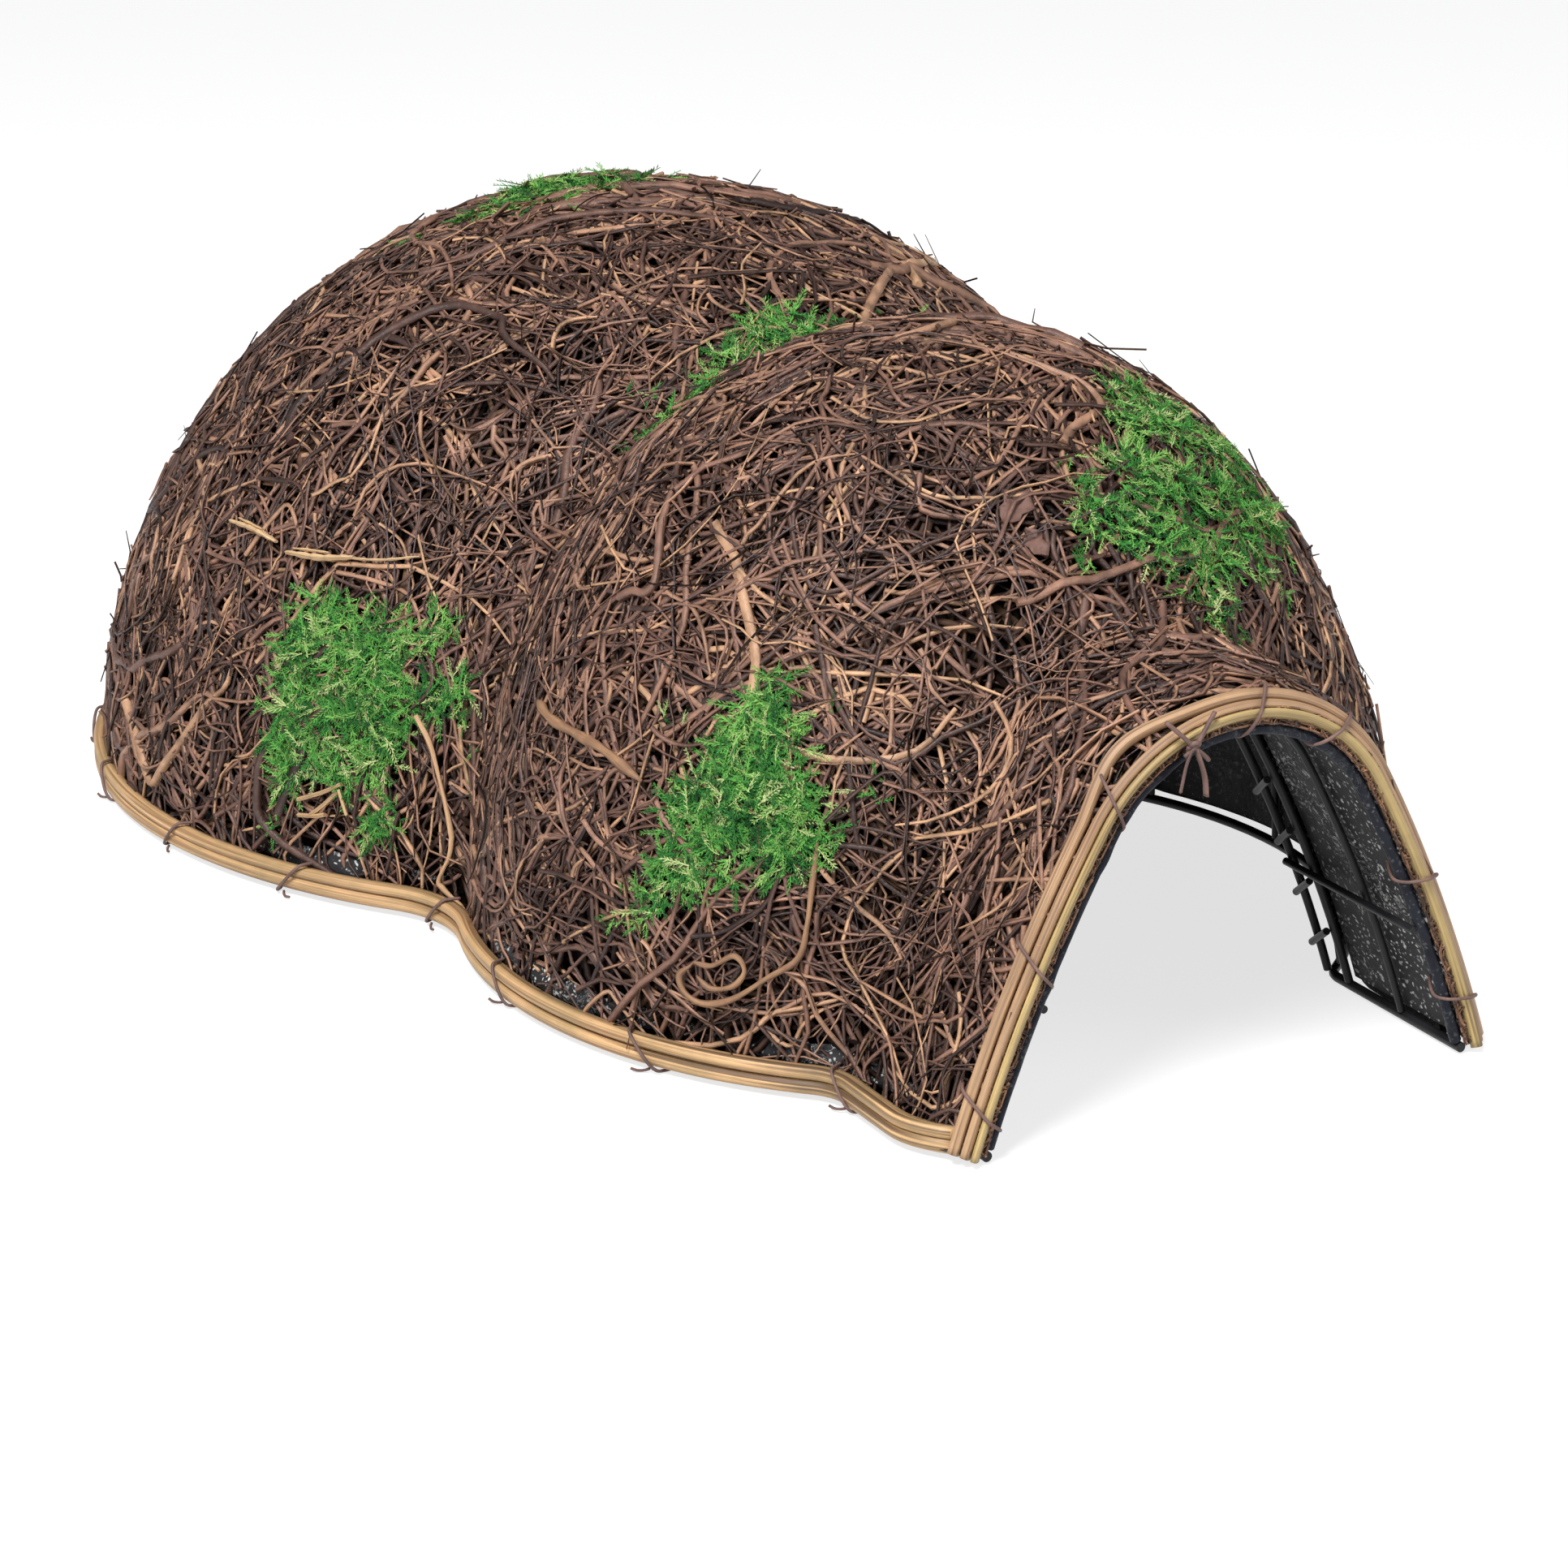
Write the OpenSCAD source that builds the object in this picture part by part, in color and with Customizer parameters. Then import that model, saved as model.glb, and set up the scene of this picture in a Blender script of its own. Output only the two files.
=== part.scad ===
// Straw hedgehog house: two thatched domes and a short arched tunnel on one axis.
// A wire cage carries a film liner, the liner carries the thatch, and split cane edges the foot and the arch.
// Millimetres, +Z up, entrance to -Y, origin on the ground under the middle of the house.

/* [Nest chamber] */
// Radius of the rear dome at the ground, over the thatch
chamber_r = 193; // [175:1:215]
// Height of the rear dome, over the thatch
chamber_h = 202; // [182:1:225]
// How much smaller the crown's radius is than the foot's
chamber_shoulder = 5; // [4:0.5:8]

/* [Porch] */
// Radius of the front dome at the ground, over the thatch
porch_r = 150; // [142:1:165]
// Height of the front dome, over the thatch
porch_h = 196; // [180:1:210]
// How much smaller the crown's radius is than the foot's
porch_shoulder = 20; // [12:1:35]
// Distance between the axes of the two domes
dome_spacing = 208; // [190:1:225]

/* [Entrance] */
// Clear width of the arch at the ground
entrance_w = 164; // [140:1:180]
// Clear height of the arch
entrance_h = 115; // [100:1:125]
// Radius of the arch's crown
entrance_crown_r = 48; // [36:1:60]
// Radius of the slight bow in the arch's legs
entrance_leg_r = 470; // [300:5:800]
// Distance from the front dome's axis to the front edge of the thatch
entrance_reach = 174; // [165:1:200]

/* [Layers] */
// Thickness of the thatch on the domes
thatch_t = 12; // [8:0.5:18]
// Thickness of the thatch on the tunnel
hood_t = 10; // [7:0.5:14]
// Thickness of the film liner
liner_t = 1; // [0.6:0.1:2]
// Height of the liner's lower edge above the ground
liner_lift = 5.5; // [4:0.5:15]
// Distance from the front dome's axis to the rear edge of the tunnel's liner
liner_rear = 119; // [114:1:130]
// Clearance between layers
layer_gap = 0.3; // [0.2:0.05:0.6]

/* [Wire cage] */
// Diameter of the bent wire on the ground
base_wire_d = 3.2; // [2.4:0.1:4]
// Diameter of the hoops
hoop_wire_d = 2.8; // [2:0.1:3.4]
// Diameter of the ribs, rings and struts
rib_wire_d = 2.4; // [1.8:0.1:3]
// Clearance at a weld
weld_gap = 0.15; // [0.1:0.05:0.3]
// Height of the wires above the ground
wire_lift = 0.3; // [0.2:0.1:1]
// Inner bend of the ground wire at the waist
waist_bend_r = 4; // [3:0.5:6]
// Bend of the ground wire behind the tunnel
corner_bend_r = 8; // [5:0.5:9]
// Distance from the front dome's axis to the doorway hoop
doorway_reach = 106; // [100:1:112]
// Height of the tunnel's stringers
stringer_z = 43; // [30:1:60]
// Radius of the small ring at the top of each dome
crown_ring_r = 25; // [15:1:40]
// Height of the lower ring in each dome
ring_low_z = 55; // [40:1:75]
// Height of the upper ring in each dome
ring_high_z = 115; // [100:1:130]
// Ribs in the rear dome, from one side of the passage round to the other
chamber_rib_count = 11; // [7:2:15]
// Radius of the crown of the hoop between the domes
passage_crown_r = 74; // [60:1:85]
// Radius of the bow in that hoop's legs
passage_leg_r = 190; // [150:5:260]

/* [Cane edging] */
// Thickness of the canes round the foot
rim_cane_t = 4.4; // [3:0.1:6]
// Height of the lower cane
rim_lower_h = 4.6; // [3:0.1:6]
// Height of the upper cane
rim_upper_h = 3.8; // [3:0.1:6]
// Radius of the canes' inward curve at the waist
rim_waist_r = 45; // [30:1:80]
// Radius of the canes' inward curve beside the tunnel
rim_corner_r = 20; // [12:1:35]
// Room under the canes for the ties
rim_lift = 1.7; // [1.5:0.1:3]
// Visible width of the inner cane on the arch
arch_inner_w = 2; // [1.4:0.1:3]
// Visible width of the middle cane on the arch
arch_middle_w = 3; // [2:0.1:4]
// Visible width of the outer cane on the arch
arch_outer_w = 4; // [3:0.1:5]
// Depth of the arch canes, front to back
arch_cane_d = 4.2; // [3:0.1:6]
// Distance from the clear opening to the inner cane
arch_cane_start = 6; // [5:0.5:9]
// Clearance between canes
cane_gap = 0.2; // [0.1:0.05:0.4]

/* [Ties] */
// Thickness of the paper-covered tie wire
tie_d = 1.2; // [0.8:0.1:1.4]
// Slant of the ties across the canes
tie_slant = 24; // [0:1:35]
// Ties on the rear dome's rim
chamber_tie_count = 14; // [8:2:20]
// Ties on each side of the front dome's rim
porch_tie_count = 4; // [2:1:6]
// Length of the loose ends at the arch's knot
knot_tail = 14; // [8:1:20]

/* [Moss and trim] */
// Height of a moss cushion over the thatch
moss_t = 8; // [5:0.5:12]
// Half width of the moss in the valley, measured up each dome
valley_moss_r = 22; // [12:0.5:28]
// Height at which the valley's moss ends on the seen side
valley_left_z = 138; // [120:1:150]
// Height at which the valley's moss ends on the far side
valley_right_z = 148; // [130:1:154]
// Diameter of the vines
vine_d = 2.2; // [1.6:0.1:3]
// Thickness of the wood chips and cut sticks
chip_t = 1.8; // [1.2:0.1:3]

/* [Hidden] */
$fn = 120;
far = 900;
overcut = 1;
seam_fit = 0.97;
seam_lap = 0.3;

// Moss cushions: points round a ring, rings, clearance below and thickness at the edge
moss_sides = 30;
moss_rings = 5;
moss_gap = layer_gap + 0.3;
moss_edge = 1.2;

// A dome is a foot radius, a height and a shoulder
chamber = [chamber_r, chamber_h, chamber_shoulder];
porch = [porch_r, porch_h, porch_shoulder];
// An arch is a half width, a height, a crown radius and a leg radius
entrance = [entrance_w / 2, entrance_h, entrance_crown_r, entrance_leg_r];

// Depths below a dome's outer face
liner_outer = thatch_t + layer_gap;
liner_inner = liner_outer + liner_t;
rib_depth = liner_inner + layer_gap + rib_wire_d / 2;
ring_depth = rib_depth + rib_wire_d + weld_gap;

// Distances outside the tunnel's clear opening
hoop_offset = hoop_wire_d / 2;
tunnel_liner_in = hoop_wire_d + layer_gap;
tunnel_liner_out = tunnel_liner_in + liner_t;
hood_in = tunnel_liner_out + layer_gap;
hood_out = hood_in + hood_t;
hood_foot_x = arch_foot_x(entrance, hood_out);

// Heights and places along the axis, with the front dome's axis at zero
wire_z = wire_lift + base_wire_d / 2;
wire_top = wire_lift + base_wire_d;
front_y = -entrance_reach;
hoop_y = front_y + hoop_wire_d / 2;
liner_rear_y = -liner_rear;
rear_hoop_y = liner_rear_y + hoop_wire_d / 2 + weld_gap;
doorway_y = -doorway_reach;
mid_rib_y = (hoop_y + rear_hoop_y) / 2;
leg_x = entrance_w / 2 + hoop_offset;
cane_front = layer_gap + arch_cane_d;
front_build = cane_front + layer_gap + tie_d;
rim_build = layer_gap + rim_cane_t;
house_y = (entrance_reach + front_build - dome_spacing - chamber_r - rim_build) / 2;

// Where a circle round the front dome's axis meets one round the rear dome's axis, as half width and place
function meeting_point(front, rear) =
    let (y = (dome_spacing * dome_spacing + front * front - rear * rear) / (2 * dome_spacing))
    [sqrt(max(front * front - y * y, 0)), y];

// The crease between the domes at a given depth, and the arch that runs along it inside the ground wire
function crease_y(inset) = meeting_point(porch_r - inset, chamber_r - inset)[1];
crown_step = [dome_spacing, crown_z(chamber) - crown_z(porch)];
function crease_along(inset) = (pow(crown_r(porch) - inset, 2) - pow(crown_r(chamber) - inset, 2)
    + crown_step * crown_step) / (2 * norm(crown_step));
function crease_up(inset) = sqrt(pow(crown_r(porch) - inset, 2) - pow(crease_along(inset), 2));
function crease_top(inset) = [0, crown_z(porch)] + crown_step * crease_along(inset) / norm(crown_step)
    + [-crown_step[1], crown_step[0]] * crease_up(inset) / norm(crown_step);
function crease_lean(inset) = atan2(crease_top(inset)[0] - crease_y(inset), crease_top(inset)[1]);
wire_pitch = (base_wire_d + hoop_wire_d) / 2 + weld_gap;
passage_inset = rib_depth + wire_pitch;
wire_waist = meeting_point(porch_r - rib_depth + waist_bend_r, chamber_r - rib_depth + waist_bend_r);
passage = [wire_waist[0] - waist_bend_r - wire_pitch,
    crease_top(passage_inset)[1] / cos(crease_lean(passage_inset)), passage_crown_r, passage_leg_r];

// Two-arc dome profile: a flank whose centre lies on the ground and a crown on the axis,
// tighter than the foot in a tall dome and flatter than it in a low one
function tall(d) = d[1] < d[0] ? -1 : 1;
function crown_r(d) = d[0] - tall(d) * d[2];
function flank_r(d) = (d[0] * d[0] + d[1] * d[1] - 2 * d[1] * crown_r(d)) / (2 * tall(d) * d[2]);
function flank_x(d) = d[0] - flank_r(d);
function crown_z(d) = d[1] - crown_r(d);
function join_angle(d) = atan2(tall(d) * crown_z(d), -tall(d) * flank_x(d));
function join_z(d, inset) = crown_z(d) + (crown_r(d) - inset) * sin(join_angle(d));
function dome_x(d, inset, z) = z < join_z(d, inset)
    ? flank_x(d) + sqrt(pow(flank_r(d) - inset, 2) - z * z)
    : sqrt(pow(crown_r(d) - inset, 2) - pow(z - crown_z(d), 2));
function dome_tilt(d, z) = z < join_z(d, 0)
    ? asin(z / flank_r(d))
    : asin((z - crown_z(d)) / crown_r(d));
function on_dome(d, azimuth, z, lift) = [
    dome_x(d, -lift, z) * cos(azimuth),
    dome_x(d, -lift, z) * sin(azimuth),
    z
];

// Two-arc arch profile: a crown arc and one slightly bowed leg on each side
function arch_crown_z(a) = a[1] - a[2];
function arch_span(a) = norm([a[0], arch_crown_z(a)]);
function arch_back(a) = (pow(a[3] - a[2], 2) - a[3] * a[3] + pow(arch_span(a), 2)) / (2 * arch_span(a));
function arch_side(a) = sqrt(pow(a[3] - a[2], 2) - pow(arch_back(a), 2));
function leg_centre(a) = [0, arch_crown_z(a)]
    + [a[0], -arch_crown_z(a)] * arch_back(a) / arch_span(a)
    - [arch_crown_z(a), a[0]] * arch_side(a) / arch_span(a);
function arch_join(a) = atan2(arch_crown_z(a) - leg_centre(a)[1], -leg_centre(a)[0]);
function leg_angle(a, offset, z) = asin((z - leg_centre(a)[1]) / (a[3] + offset));
function arch_x(a, offset, z) = leg_centre(a)[0] + (a[3] + offset) * cos(leg_angle(a, offset, z));
function arch_foot_x(a, offset) = arch_x(a, offset, 0);

// Angle at which a ring on one dome meets the other dome, measured at the ring's own axis
function meeting_angle(own, other) =
    acos((dome_spacing * dome_spacing + own * own - other * other) / (2 * dome_spacing * own));

// Angle by which a ring stops short of the other dome's ring where the two wires cross
function meeting_trim(own, other) =
    let (c = (own * own + other * other - dome_spacing * dome_spacing) / (2 * own * other))
    (rib_wire_d * (1 + abs(c)) / 2 + weld_gap) / sqrt(1 - c * c) / own * 180 / PI;

function unit(v) = v / norm(v);

module both_sides() {
    children();
    mirror([1, 0, 0]) children();
}

module placed() {
    translate([0, house_y, 0]) children();
}

module turn(from, to) {
    rotate([0, 0, from]) rotate_extrude(angle = to - from) children();
}

module at_chamber() {
    translate([0, dome_spacing, 0]) children();
}

// Solid of a dome down to the ground, at a depth below its outer face, with room below the ground to cut
module dome_core(d, inset, foot = 0) {
    pivot = tall(d) > 0 ? [0, crown_z(d)] : [flank_x(d), 0];
    reach = pivot + [cos(join_angle(d)), sin(join_angle(d))] * far;
    rotate_extrude() {
        intersection() {
            translate([flank_x(d), 0]) circle(flank_r(d) - inset);
            polygon([[0, -foot], [far, -foot], reach, pivot]);
        }
        intersection() {
            translate([0, crown_z(d)]) circle(crown_r(d) - inset);
            polygon(tall(d) > 0 ? [pivot, reach, [0, 2 * far]] : [pivot, reach, [0, 2 * far], [0, -foot]]);
        }
    }
}

module dome_shell(d, outer, inner) {
    difference() {
        dome_core(d, outer);
        dome_core(d, inner, overcut);
    }
}

module arch_profile(a, offset) {
    centre = [0, arch_crown_z(a)];
    reach = [cos(arch_join(a)), sin(arch_join(a))] * far;
    intersection() {
        translate(centre) circle(a[2] + offset);
        polygon([centre, centre + reach, [0, 2 * far], centre + [-reach[0], reach[1]]]);
    }
    for (side = [0, 1]) mirror([side, 0]) intersection() {
        translate(leg_centre(a)) circle(a[3] + offset);
        polygon([[0, 0], [far, 0], centre + reach, centre]);
    }
}

// Solid of the tunnel between two places along the axis
module tunnel_core(offset, from_y, to_y) {
    translate([0, to_y, 0]) rotate([90, 0, 0])
        linear_extrude(to_y - from_y) arch_profile(entrance, offset);
}

// Seam between two bends of one wire or cane: the slimmer end is let into the full one
module slim() {
    scale([seam_fit, seam_fit]) children();
}

function lap_angle(radius) = seam_lap / radius * 180 / PI;

// Carries a centred section round an arch in its own plane: x is outward, y is to the front
module arch_run(a, offset, foot_z) {
    lap = lap_angle(a[2] + offset);
    rotate([90, 0, 0]) {
        translate([0, arch_crown_z(a), 0])
            turn(arch_join(a) - lap, 180 - arch_join(a) + lap) translate([a[2] + offset, 0]) children();
        both_sides() translate(leg_centre(a))
            turn(leg_angle(a, offset, foot_z), arch_join(a)) translate([a[3] + offset, 0]) slim() children();
    }
}

// Carries a centred section round the plan of the house: x is outward, y is up
module base_run(chamber_path, porch_path, leg_path, waist, corner) {
    waist_at = meeting_point(porch_path + waist, chamber_path + waist);
    waist_x = waist_at[0];
    waist_y = waist_at[1];
    corner_x = leg_path + corner;
    corner_y = -sqrt(pow(porch_path + corner, 2) - corner_x * corner_x);
    chamber_from = atan2(waist_y - dome_spacing, waist_x) - lap_angle(chamber_path);
    porch_lap = lap_angle(porch_path);
    at_chamber() turn(chamber_from, 180 - chamber_from) translate([chamber_path, 0]) children();
    both_sides() {
        translate([waist_x, waist_y, 0])
            turn(atan2(dome_spacing - waist_y, -waist_x), 360 + atan2(-waist_y, -waist_x))
                translate([waist, 0]) slim() mirror([1, 0]) children();
        turn(atan2(corner_y, corner_x) - porch_lap, atan2(waist_y, waist_x) + porch_lap)
            translate([porch_path, 0]) children();
        translate([corner_x, corner_y, 0])
            turn(atan2(-corner_y, -corner_x), 180) translate([corner, 0]) slim() mirror([1, 0]) children();
        translate([leg_path, corner_y + seam_lap, 0]) rotate([90, 0, 0])
            linear_extrude(corner_y + seam_lap - front_y) children();
    }
}

// One rib of a dome, from a given height up to the crown ring
module rib(d, azimuth, from_z) {
    crown = crown_r(d) - rib_depth;
    flank = flank_r(d) - rib_depth;
    top = acos(crown_ring_r / crown);
    on_flank = from_z < join_z(d, rib_depth);
    crown_from = on_flank ? join_angle(d) - lap_angle(crown) : asin((from_z - crown_z(d)) / crown);
    rotate([0, 0, azimuth]) rotate([90, 0, 0]) {
        if (on_flank) translate([flank_x(d), 0, 0])
            turn(asin(from_z / flank), join_angle(d)) translate([flank, 0]) slim() circle(d = rib_wire_d);
        translate([0, crown_z(d), 0])
            turn(crown_from, top) translate([crown, 0]) circle(d = rib_wire_d);
    }
}

module ring_arc(radius, z, from, to) {
    translate([0, 0, z]) turn(from, to) translate([radius, 0]) circle(d = rib_wire_d);
}

module crown_ring(d) {
    crown = crown_r(d) - ring_depth;
    translate([0, 0, crown_z(d) + sqrt(crown * crown - crown_ring_r * crown_ring_r)])
        rotate_extrude() translate([crown_ring_r, 0]) circle(d = rib_wire_d);
}

// Puts a piece on a dome: its x points out of the thatch and its z runs up the dome
module on_surface(d, azimuth, z) {
    rotate([0, 0, azimuth]) translate([dome_x(d, 0, z), 0, z]) rotate([0, -dome_tilt(d, z), 0]) children();
}

// Point over a dome at a distance along it from a place: u round the dome, v up it
function tilt_point(d, tilt, lift) = tilt < join_angle(d)
    ? [flank_x(d) + (flank_r(d) + lift) * cos(tilt), (flank_r(d) + lift) * sin(tilt)]
    : [(crown_r(d) + lift) * cos(tilt), crown_z(d) + (crown_r(d) + lift) * sin(tilt)];
function tilt_arc(d, tilt) = (flank_r(d) * min(tilt, join_angle(d))
    + crown_r(d) * max(tilt - join_angle(d), 0)) * PI / 180;
function arc_tilt(d, arc) =
    let (on_flank = flank_r(d) * join_angle(d) * PI / 180)
    (min(arc, on_flank) / flank_r(d) + max(arc - on_flank, 0) / crown_r(d)) * 180 / PI;
function side_point(d, azimuth, tilt, u, v, lift) =
    let (here = arc_tilt(d, tilt_arc(d, tilt) + v),
         p = tilt_point(d, here, lift),
         turned = azimuth + u / p[0] * 180 / PI)
    [p[0] * cos(turned), p[0] * sin(turned), p[1]];
function top_point(d, x, y, lift) = [x, y, crown_z(d) + sqrt(pow(crown_r(d) + lift, 2) - x * x - y * y)];

// Ragged edge of a moss cushion, as a share of its half widths
function ragged(angle, seed) = 1 + 0.15 * sin(3 * angle + seed) + 0.11 * sin(5 * angle + 2.3 * seed)
    + 0.07 * sin(9 * angle + 3.1 * seed);
function cushion(share, angle, seed) =
    moss_edge + (moss_t - moss_edge) * sqrt(1 - share * share) * (1 + 0.22 * sin(4 * angle + seed) * share);

// Closed cushion over rings of points: the upper rings run out, the lower rings run back in
module moss_pad(points) {
    rounds = len(points) / moss_sides;
    last = len(points) - 1;
    centre_top = last + 1;
    centre_low = last + 2;
    tops = sum_points([for (k = [0 : moss_sides - 1]) points[k]]) / moss_sides;
    lows = sum_points([for (k = [0 : moss_sides - 1]) points[last - k]]) / moss_sides;
    walls = [for (i = [0 : rounds - 2], k = [0 : moss_sides - 1])
        let (a = i * moss_sides + k, b = i * moss_sides + (k + 1) % moss_sides)
        each [[a, b + moss_sides, b], [a, a + moss_sides, b + moss_sides]]];
    caps = [for (k = [0 : moss_sides - 1])
        let (a = k, b = (k + 1) % moss_sides, low = last - moss_sides + 1)
        each [[centre_top, a, b], [centre_low, low + b, low + a]]];
    polyhedron(points = concat(points, [tops, lows]), faces = concat(walls, caps));
}

function sum_points(list, i = 0) = i == len(list) ? [0, 0, 0] : list[i] + sum_points(list, i + 1);

// Shares of the half width at the rings of a cushion, out over the top and back under it
function pad_rings() = concat([for (i = [1 : moss_rings]) [i / moss_rings, 1]],
    [for (i = [moss_rings : -1 : 1]) [i / moss_rings, 0]]);

// Cushion on the side of a dome, with its half width, its half height and a seed for its edge
module side_moss(d, azimuth, z, half_w, half_h, seed) {
    color("#3f7d2c") moss_pad([for (ring = pad_rings(), k = [0 : moss_sides - 1])
        let (angle = 360 * k / moss_sides,
             reach = ring[0] * ragged(angle, seed),
             lift = moss_gap + ring[1] * cushion(ring[0], angle, seed))
        side_point(d, azimuth, dome_tilt(d, z), half_w * reach * cos(angle), half_h * reach * sin(angle), lift)]);
}

// Cushion near the top of a dome, placed in plan
module top_moss(d, x, y, half_w, half_h, seed) {
    color("#3f7d2c") moss_pad([for (ring = pad_rings(), k = [0 : moss_sides - 1])
        let (angle = 360 * k / moss_sides,
             reach = ring[0] * ragged(angle, seed),
             lift = moss_gap + ring[1] * cushion(ring[0], angle, seed))
        top_point(d, x + half_w * reach * cos(angle), y + half_h * reach * sin(angle), lift)]);
}

// Closed strip over rings of points that follow one another
module strip(points, sides) {
    last = len(points) / sides - 1;
    ends = [[for (k = [sides - 1 : -1 : 0]) k], [for (k = [0 : sides - 1]) last * sides + k]];
    walls = [for (i = [0 : last - 1], k = [0 : sides - 1])
        let (a = i * sides + k, b = i * sides + (k + 1) % sides)
        each [[a, b, b + sides], [a, b + sides, a + sides]]];
    polyhedron(points = points, faces = concat(ends, walls));
}

// Unbroken tube along points that lie on a dome round the z axis
module vine(path) {
    sides = 8;
    last = len(path) - 1;
    strip([for (i = [0 : last], k = [0 : sides - 1])
        let (along = unit(path[min(i + 1, last)] - path[max(i - 1, 0)]),
             across = unit(cross(along, [path[i][0], path[i][1], 0])),
             out = cross(across, along),
             angle = 360 * k / sides)
        path[i] + (across * cos(angle) + out * sin(angle)) * vine_d / 2], sides);
}

module base_wire() {
    color("#1b1b1d") placed()
        translate([0, 0, wire_z])
        base_run(chamber_r - rib_depth, porch_r - rib_depth, leg_x, waist_bend_r, corner_bend_r)
            circle(d = base_wire_d);
}

module tunnel_hoop(y) {
    translate([0, y, 0]) arch_run(entrance, hoop_offset, wire_top + weld_gap) circle(d = hoop_wire_d);
}

module entrance_hoop() {
    color("#1b1b1d") placed() tunnel_hoop(hoop_y);
}

module tunnel_mid_rib() {
    color("#1b1b1d") placed() translate([0, mid_rib_y, 0])
        arch_run(entrance, hoop_offset, wire_top + weld_gap) circle(d = rib_wire_d);
}

module tunnel_rear_hoop() {
    color("#1b1b1d") placed() tunnel_hoop(rear_hoop_y);
}

module doorway_hoop() {
    color("#1b1b1d") placed() tunnel_hoop(doorway_y);
}

// Short slanting struts that tie the doorway hoop to the tunnel's last hoop
module hoop_struts() {
    rise = 8;
    inset = (hoop_wire_d + rib_wire_d) / 2 + weld_gap;
    color("#1b1b1d") placed() both_sides() for (z = [14, 32, 50, 68]) {
        low = [arch_x(entrance, hoop_offset - inset, z), doorway_y, z];
        high = [arch_x(entrance, hoop_offset - inset, z + rise), rear_hoop_y, z + rise];
        run = high - low;
        translate(low) rotate([0, acos(run[2] / norm(run)), atan2(run[1], run[0])])
            cylinder(d = rib_wire_d, h = norm(run));
    }
}

module tunnel_stringers() {
    x = arch_x(entrance, 0, stringer_z) - weld_gap - rib_wire_d / 2;
    color("#1b1b1d") placed() both_sides() translate([x, doorway_y, stringer_z]) rotate([90, 0, 0])
        cylinder(d = rib_wire_d, h = doorway_y - hoop_y);
}

// Hoop round the open way between the two domes, leaning back with the crease
module passage_hoop() {
    color("#1b1b1d") placed() translate([0, crease_y(passage_inset), 0])
        rotate([-crease_lean(passage_inset), 0, 0])
            arch_run(passage, 0, wire_lift + hoop_wire_d / 2) circle(d = hoop_wire_d);
}

module porch_ribs() {
    above_tunnel = entrance_h + hood_in + rib_wire_d;
    above_passage = crease_top(rib_depth)[1] + hoop_wire_d;
    color("#1b1b1d") placed() {
        both_sides() for (azimuth = [-28, 0, 25]) rib(porch, azimuth, wire_top + weld_gap);
        rib(porch, -90, above_tunnel);
        rib(porch, 90, above_passage);
    }
}

module porch_rings() {
    color("#1b1b1d") placed() {
        for (z = [ring_low_z, ring_high_z]) {
            radius = dome_x(porch, ring_depth, z);
            tunnel_half = arch_x(entrance, hood_in, min(z, arch_crown_z(entrance)));
            from = asin(min(tunnel_half / radius, 1)) - 90;
            far_ring = dome_x(chamber, ring_depth, z);
            to = 90 - meeting_angle(radius, far_ring) - meeting_trim(radius, far_ring);
            both_sides() ring_arc(radius, z, from, to);
        }
        crown_ring(porch);
    }
}

module chamber_ribs() {
    open_half = meeting_angle(chamber_r - rib_depth, porch_r - rib_depth) + 6;
    step = (360 - 2 * open_half) / (chamber_rib_count - 1);
    above_passage = crease_top(rib_depth)[1] + hoop_wire_d;
    color("#1b1b1d") placed() at_chamber() {
        for (i = [0 : chamber_rib_count - 1])
            rib(chamber, open_half - 90 + i * step, wire_top + weld_gap);
        rib(chamber, -90, above_passage);
    }
}

module chamber_rings() {
    color("#1b1b1d") placed() at_chamber() {
        for (z = [ring_low_z, ring_high_z]) {
            radius = dome_x(chamber, ring_depth, z);
            open_half = meeting_angle(radius, dome_x(porch, ring_depth, z));
            ring_arc(radius, z, open_half - 90, 270 - open_half);
        }
        crown_ring(chamber);
    }
}

module below_liner() {
    translate([-far / 2, -far / 2, -far]) cube([far, far, far + liner_lift]);
}

module tunnel_liner() {
    color("#26272a") placed() difference() {
        tunnel_core(tunnel_liner_out, front_y, liner_rear_y);
        tunnel_core(tunnel_liner_in, front_y - overcut, liner_rear_y + overcut);
        below_liner();
    }
}

module porch_liner() {
    color("#26272a") placed() difference() {
        dome_shell(porch, liner_outer, liner_inner);
        at_chamber() dome_core(chamber, liner_outer - layer_gap);
        tunnel_core(hood_in, front_y, 0);
        below_liner();
    }
}

module chamber_liner() {
    color("#26272a") placed() difference() {
        at_chamber() dome_shell(chamber, liner_outer, liner_inner);
        dome_core(porch, liner_inner);
        below_liner();
    }
}

module tunnel_thatch() {
    color("#54382b") placed() difference() {
        difference() {
            tunnel_core(hood_out, front_y, doorway_y);
            tunnel_core(hood_in, front_y - overcut, 0);
        }
        dome_core(porch, -layer_gap, overcut);
    }
}

module porch_thatch() {
    color("#54382b") placed() difference() {
        dome_shell(porch, 0, thatch_t);
        at_chamber() dome_core(chamber, -layer_gap, overcut);
        tunnel_core(hood_in, front_y, 0);
    }
}

module chamber_thatch() {
    color("#54382b") placed() difference() {
        at_chamber() dome_shell(chamber, 0, thatch_t);
        dome_core(porch, thatch_t, overcut);
    }
}

// Section of a split cane about its middle: flat towards the thatch, rounded outside
module split_cane(thickness, height) {
    round_r = max(0.8 * height, 0.6 * thickness);
    translate([-thickness / 2, 0]) intersection() {
        translate([thickness - round_r, 0]) circle(round_r);
        translate([0, -height / 2]) square([thickness + overcut, height]);
    }
}

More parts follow.
